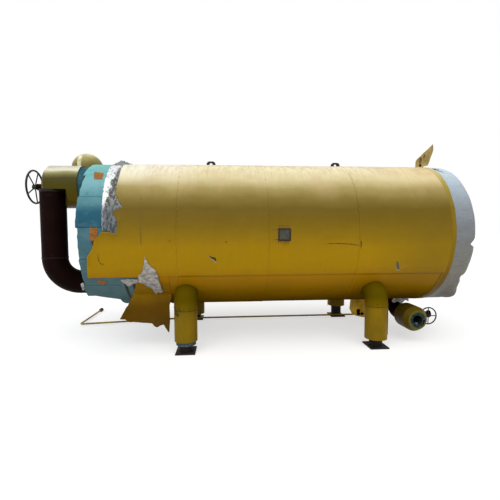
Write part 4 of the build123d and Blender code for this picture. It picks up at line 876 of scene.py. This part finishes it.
SCUFF_CORNERS = [(0, 0), (0.4, 0.5), (1, 1), (0.3, 1.02), (-0.35, 0.4)]
for seed, (z, t, high, wide) in enumerate(SCUFFS):
    loop = [(z + high * a, math.radians(t + wide * b)) for a, b in SCUFF_CORNERS]
    loop = frayed(loop, 0.006, 0.0016, seed + 40.0)
    points, faces = patch(loop, 0.0015, 0.012)
    nets.append((on_riser(points, RISER_RADIUS + 0.00045), faces))
scuff = worn("riser_scuff", (0.06, 0.04, 0.036), (0.03, 0.016, 0.014), 60, 0.7, 0.0005)
piece("riser_scuffs", nets, scuff)

# Nameplate: a bare plate of grey-green metal, pinned into a dark frame that is let into the jacket. It
# carries no text.
plate = worn("name_plate", (0.04, 0.044, 0.034), (0.08, 0.075, 0.058), 22, 0.45, 0.0006, metallic=0.3)
dress(plate, "nameplate")

# Old glue on the foam: orange-brown pads where fixings of the lost sheet were stuck on. They stand a little
# proud, and a dark run hangs below one.


def marking(name, loops, radius, stuff, pitch=0.006, lift=0.0):
    """Thin patches that lie on the tank, each from its outline of lengths and degrees."""
    nets = []
    for seed, loop in enumerate(loops):
        points, faces = patch(frayed(deg(loop), 0.008, 0.0022, seed + 20.0), pitch)
        nets.append((round_tank(points, radius + lift * np.abs(rumple(points, (60, 60), seed + 30.0))), faces))
    return piece(name, nets, stuff)


glue = worn("old_glue", (0.42, 0.155, 0.012), (0.2, 0.075, 0.012), 30, 0.6, 0.004)
marking("glue_pads", [
    [(0.075, 55), (0.195, 53.4), (0.213, 45.0), (0.11, 45.4)],
    [(0.148, 6), (0.232, 6), (0.225, -2.0), (0.168, -3.2), (0.147, -1.8)],
    [(0.161, -33), (0.268, -34), (0.247, -37), (0.2, -37.2), (0.151, -36.7)]], 0.9918, glue, lift=0.003)
stain = worn("dark_stain", (0.05, 0.035, 0.02), (0.09, 0.06, 0.03), 40, 0.8, 0.002)
marking("glue_run", [[(0.15, -1.5), (0.2, -2.5), (0.192, -5), (0.175, -6.8), (0.163, -5)]], 0.9916, stain)

# Dark pencil-thin marks on the jacket: scrapes, a crack in the torn corner, screw holes, and the lines
# left beside the nameplate; a rust run hangs below its frame.
MARK_PITCH = 0.003
scars = worn("scars", (0.035, 0.022, 0.008), (0.07, 0.045, 0.015), 50, 0.8, 0.001)
marking("jacket_scars", [
    [(1.725, -3.7), (1.745, -3.8), (1.747, -4.7), (1.728, -4.6)],
    [(2.243, 45.9), (2.256, 45.8), (2.255, 45.1), (2.242, 45.2)],
    [(1.06, -3.0), (1.074, -3.1), (1.073, -3.8), (1.061, -3.7)],
    [(0.165, -8.9), (0.2, -10.0), (0.222, -11.8), (0.226, -15.0), (0.235, -18.6), (0.29, -20.0), (0.29, -20.2),
     (0.232, -18.8), (0.223, -15.1), (0.219, -12.0), (0.199, -10.2)],
    [(2.302, 4.35), (2.372, 4.3), (2.372, 4.15), (2.302, 4.2)],
    [(2.302, -2.6), (2.372, -2.6), (2.372, -2.75), (2.302, -2.75)],
    [(2.965, -5.7), (3.1, -5.55), (3.26, -6.05), (3.4, -7.2), (3.4, -7.5), (3.26, -6.4), (3.1, -5.9),
     (2.965, -5.95)],
    [(3.402, -4.1), (3.412, -4.2), (3.42, -6.4), (3.419, -9.3), (3.408, -8.4), (3.406, -6.3)],
    [(1.527, -14.0), (1.565, -14.7), (1.61, -15.6), (1.617, -18.3), (1.585, -16.6), (1.552, -15.6)]],
    OVER + 0.0006, scars, MARK_PITCH)
joint = worn("sheet_joint", (0.17, 0.112, 0.008), (0.13, 0.085, 0.008), 50, 0.6, 0.0005)
marking("first_joint", [[(0.716, 28.8), (0.722, 28.8), (0.732, 10.0), (0.734, -6.0), (0.728, -6.0), (0.726, 10.0)]],
        OVER + 0.0004, joint)
RUNS = [
    (2.374, 0.004, -3.9, -5.8), (2.396, 0.003, -4.0, -5.0), (2.413, 0.004, -4.0, -5.4), (2.444, 0.006, -4.0, -7.3),
    (2.463, 0.004, -4.0, -5.9), (2.482, 0.004, -4.0, -6.9), (2.502, 0.005, -3.9, -5.9), (2.39, 0.008, 7.0, 6.4),
    (2.425, 0.01, 7.2, 6.6), (2.462, 0.007, 7.0, 6.5), (2.492, 0.006, 7.2, 6.4)]
rust = worn("rust_run", (0.13, 0.024, 0.004), (0.2, 0.065, 0.008), 60, 0.8, 0.001)
marking("rust_run", [[(x - w, top), (x + w, top), (x + w * 0.5, end), (x - w * 0.4, end)] for x, w, top, end in RUNS],
        OVER + 0.0008, rust, MARK_PITCH)
pale = worn("bare_scratch", (0.42, 0.36, 0.24), (0.3, 0.24, 0.12), 50, 0.6, 0.001)
marking("pale_scratches", [
    [(1.525, -14.4), (1.555, -15.8), (1.588, -16.9), (1.618, -19.2), (1.612, -19.6), (1.58, -17.6), (1.55, -16.3),
     (1.519, -14.7)],
    [(3.905, -26.2), (3.945, -26.6), (3.972, -26.6), (3.974, -27.2), (3.94, -27.4), (3.902, -26.8)],
    [(3.972, -25.4), (4.01, -23.8), (4.062, -22.6), (4.062, -22.9), (4.01, -24.3),
     (3.975, -26)]], OVER + 0.001, pale, MARK_PITCH)

# Weld rings where the riser's pieces of pipe are joined end to end, each a rippled bead under the same dark
# paint, and a plain hexagon nut of black steel on the end of each wheel's stem.
weld = worn("weld_bead", (0.012, 0.006, 0.005), (0.02, 0.01, 0.008), 40, 0.6, 0.002, gloss=0.08)


def directions(axis):
    """An axis and two directions square to it."""
    axis = Vector(axis).normalized()
    first = axis.orthogonal().normalized()
    return axis, first, axis.cross(first)


BEAD, RIPPLES, BEAD_SIDES, BEAD_STEPS = 0.005, 60, 8, 96


def weld_ring(centre, axis):
    """A weld bead round the riser, rippled along its run."""
    axis, first, second = directions(axis)
    points = []
    for t in np.arange(BEAD_STEPS) * 2 * math.pi / BEAD_STEPS:
        out = first * math.cos(t) + second * math.sin(t)
        thick = BEAD * (1 + 0.18 * math.sin(t * RIPPLES))
        for s in np.arange(BEAD_SIDES) * 2 * math.pi / BEAD_SIDES:
            reach = RISER_RADIUS + thick * math.cos(s)
            points.append(Vector(centre) + out * reach + axis * (thick * math.sin(s) * 1.6))
    faces = strips(BEAD_STEPS + 1, BEAD_SIDES, closed=True)
    return np.array([tuple(p) for p in points]), [tuple(n % len(points) for n in face) for face in faces]


BRANCH_TURN, BRANCH_HEIGHT, BRANCH_JOINT, RISER_JOINT = math.radians(32), -0.665, 0.368, -0.3
run = Vector((math.cos(BRANCH_TURN), math.sin(BRANCH_TURN), 0))
corner = Vector((RISER.x, RISER.y, BRANCH_HEIGHT))
nets = [weld_ring((RISER.x, RISER.y, RISER_JOINT), (0, 0, 1)), weld_ring(corner + run * BRANCH_JOINT, run)]
piece("riser_welds", nets, weld)


def nut_net(centre, axis, size, length):
    """A six-sided nut with its corners turned down."""
    axis, first, second = directions(axis)
    points = []
    for reach, share in ((0, 0.9), (0.15, 1.0), (0.85, 1.0), (1, 0.88)):
        for k in range(6):
            t = math.pi * k / 3
            out = (first * math.cos(t) + second * math.sin(t)) * size * share
            points.append(Vector(centre) + axis * length * reach + out)
    faces = strips(4, 6, closed=True) + [tuple(range(5, -1, -1)), tuple(range(18, 24))]
    return np.array([tuple(p) for p in points]), faces


piece("left_stem_nut", [nut_net((-0.8975, -0.15, 0.663), (-1, 0, 0), 0.021, 0.011)], black)
piece("right_stem_nut", [nut_net((4.652, -0.4555, -1.183), (0, -1, 0), 0.014, 0.011)], black)

# Tears in the membrane at the top of the right end, black tar showing through, and the L-shaped scrape on
# the hanging sheet.
tar = worn("tar", (0.008, 0.008, 0.008), (0.025, 0.023, 0.02), 40, 0.8, 0.001)
marking("end_tears", [
    [(4.7, 72), (4.735, 70.5), (4.775, 66.5), (4.772, 65.5), (4.73, 69), (4.705, 70.6)],
    [(4.722, 66), (4.75, 62.5), (4.782, 60), (4.78, 59.3), (4.745, 61.3), (4.722, 64.5)],
    [(4.7, 69), (4.72, 68.2), (4.74, 66.2), (4.735, 65.6), (4.712, 67.4)]], 0.9955, tar, 0.005)
bare = []
for loop in ([(0.645, -1.13), (0.75, -1.14), (0.752, -1.146), (0.646, -1.136)],
             [(0.745, -1.095), (0.753, -1.096), (0.757, -1.142), (0.749, -1.143)]):
    points, faces = net(frayed(loop, 0.01, 0.0015, 50.0), steps(0.64, 0.76, 0.004), steps(-1.15, -1.09, 0.002))
    bare.append((upright(points, -FLAP_PLANE - 0.0025 + flap_bend(points)), faces))
piece("flap_scrape", bare, pale)

# Loose stuff: two white crumbs of foam that stick to the broken blocks at the lower left, and a grey clot of
# insulation that lies in the mouth of the outlet.


def lump(centre, size, seed):
    """A small uneven clot."""
    points = []
    for a in range(9):
        for b in range(16):
            up_angle, turn_angle = math.pi * (a / 8 - 0.5), 2 * math.pi * b / 16
            way = Vector((math.cos(up_angle) * math.cos(turn_angle), math.cos(up_angle) * math.sin(turn_angle),
                          math.sin(up_angle)))
            out = 1 + 0.5 * noise.noise(way * 1.8 + Vector((seed, 0, 0)))
            points.append([centre[k] + size[k] * out * way[k] for k in range(3)])
    return np.array(points), strips(9, 16, closed=True)


skin_foam = worn("pale_crumbs", (0.55, 0.58, 0.58), (0.34, 0.37, 0.37), 30, 0.8, 0.003)
piece("ring_crumb", [lump((-0.038, -0.778, -0.607), (0.02, 0.02, 0.026), 1.0),
                     lump((-0.045, -0.738, -0.656), (0.014, 0.016, 0.024), 2.0)], skin_foam)
clot = worn("outlet_clot", (0.13, 0.15, 0.155), (0.045, 0.055, 0.06), 30, 0.85, 0.003)
piece("outlet_clot", [lump((4.295, -0.742, -1.205), (0.026, 0.03, 0.016), 3.0)], clot)

# Floor and light: a pale studio floor on white under a broad soft light from above and in front, as from
# an open sky. The camera sees the floor near white, so that only the shadow shows.
FLOOR_REACH, FLOOR_GLOW, SKY_LIGHT, SKY_SEEN = 60, 0.56, 0.52, 1.0
mesh = bpy.data.meshes.new("floor")
mesh.from_pydata([(x * FLOOR_REACH, y * FLOOR_REACH, 0) for x, y in ((-1, -1), (1, -1), (1, 1), (-1, 1))], [],
                 [(0, 1, 2, 3)])
floor = bpy.data.objects.new("floor", mesh)
bpy.context.collection.objects.link(floor)
paint, shader, place = material("studio_floor", 0.0)
cloudy = span(grain(place, 0.5, 2.0), 0.3, 0.7)
coat(shader, mix(cloudy, (0.52, 0.52, 0.52), (0.54, 0.54, 0.54)), 0.95)


def seen_rays(tree):
    """1 for rays from the camera, or that a gloss or a clear thing sends on, and 0 for all others."""
    rays = shade(tree, "LightPath").outputs
    direct = sums("MAXIMUM", rays["Is Camera Ray"], rays["Is Glossy Ray"])
    return sums("MAXIMUM", direct, rays["Is Transmission Ray"])


feed(shader, "Emission Color", (1, 1, 1, 1))
feed(shader, "Emission Strength", shares(seen_rays(shader.id_data), FLOOR_GLOW))
mesh.materials.append(paint)

world = bpy.data.worlds.new("studio")
bpy.context.scene.world = world
world.use_nodes = True
background = world.node_tree.nodes["Background"]
feed(background, "Color", (1, 1, 1, 1))
feed(background, "Strength", span(seen_rays(world.node_tree), 0, 1, SKY_LIGHT, SKY_SEEN))


def lamp(name, energy, breadth, place, aim):
    """A soft light of some strength and breadth in degrees, that shines from a place to its aim."""
    light = bpy.data.lights.new(name, "SUN")
    light.energy = energy
    light.angle = math.radians(breadth)
    item = bpy.data.objects.new(name, light)
    item.location = place
    item.rotation_euler = (Vector(aim) - Vector(place)).to_track_quat("-Z", "Y").to_euler()
    bpy.context.collection.objects.link(item)


lamp("sky", 1.75, 70, (-1, -5, 10), (0, 0, 1.5))
lamp("front", 0.45, 60, (-4, -9, 2.5), (0, 0, 1.2))
bpy.context.scene.view_settings.view_transform = "Standard"
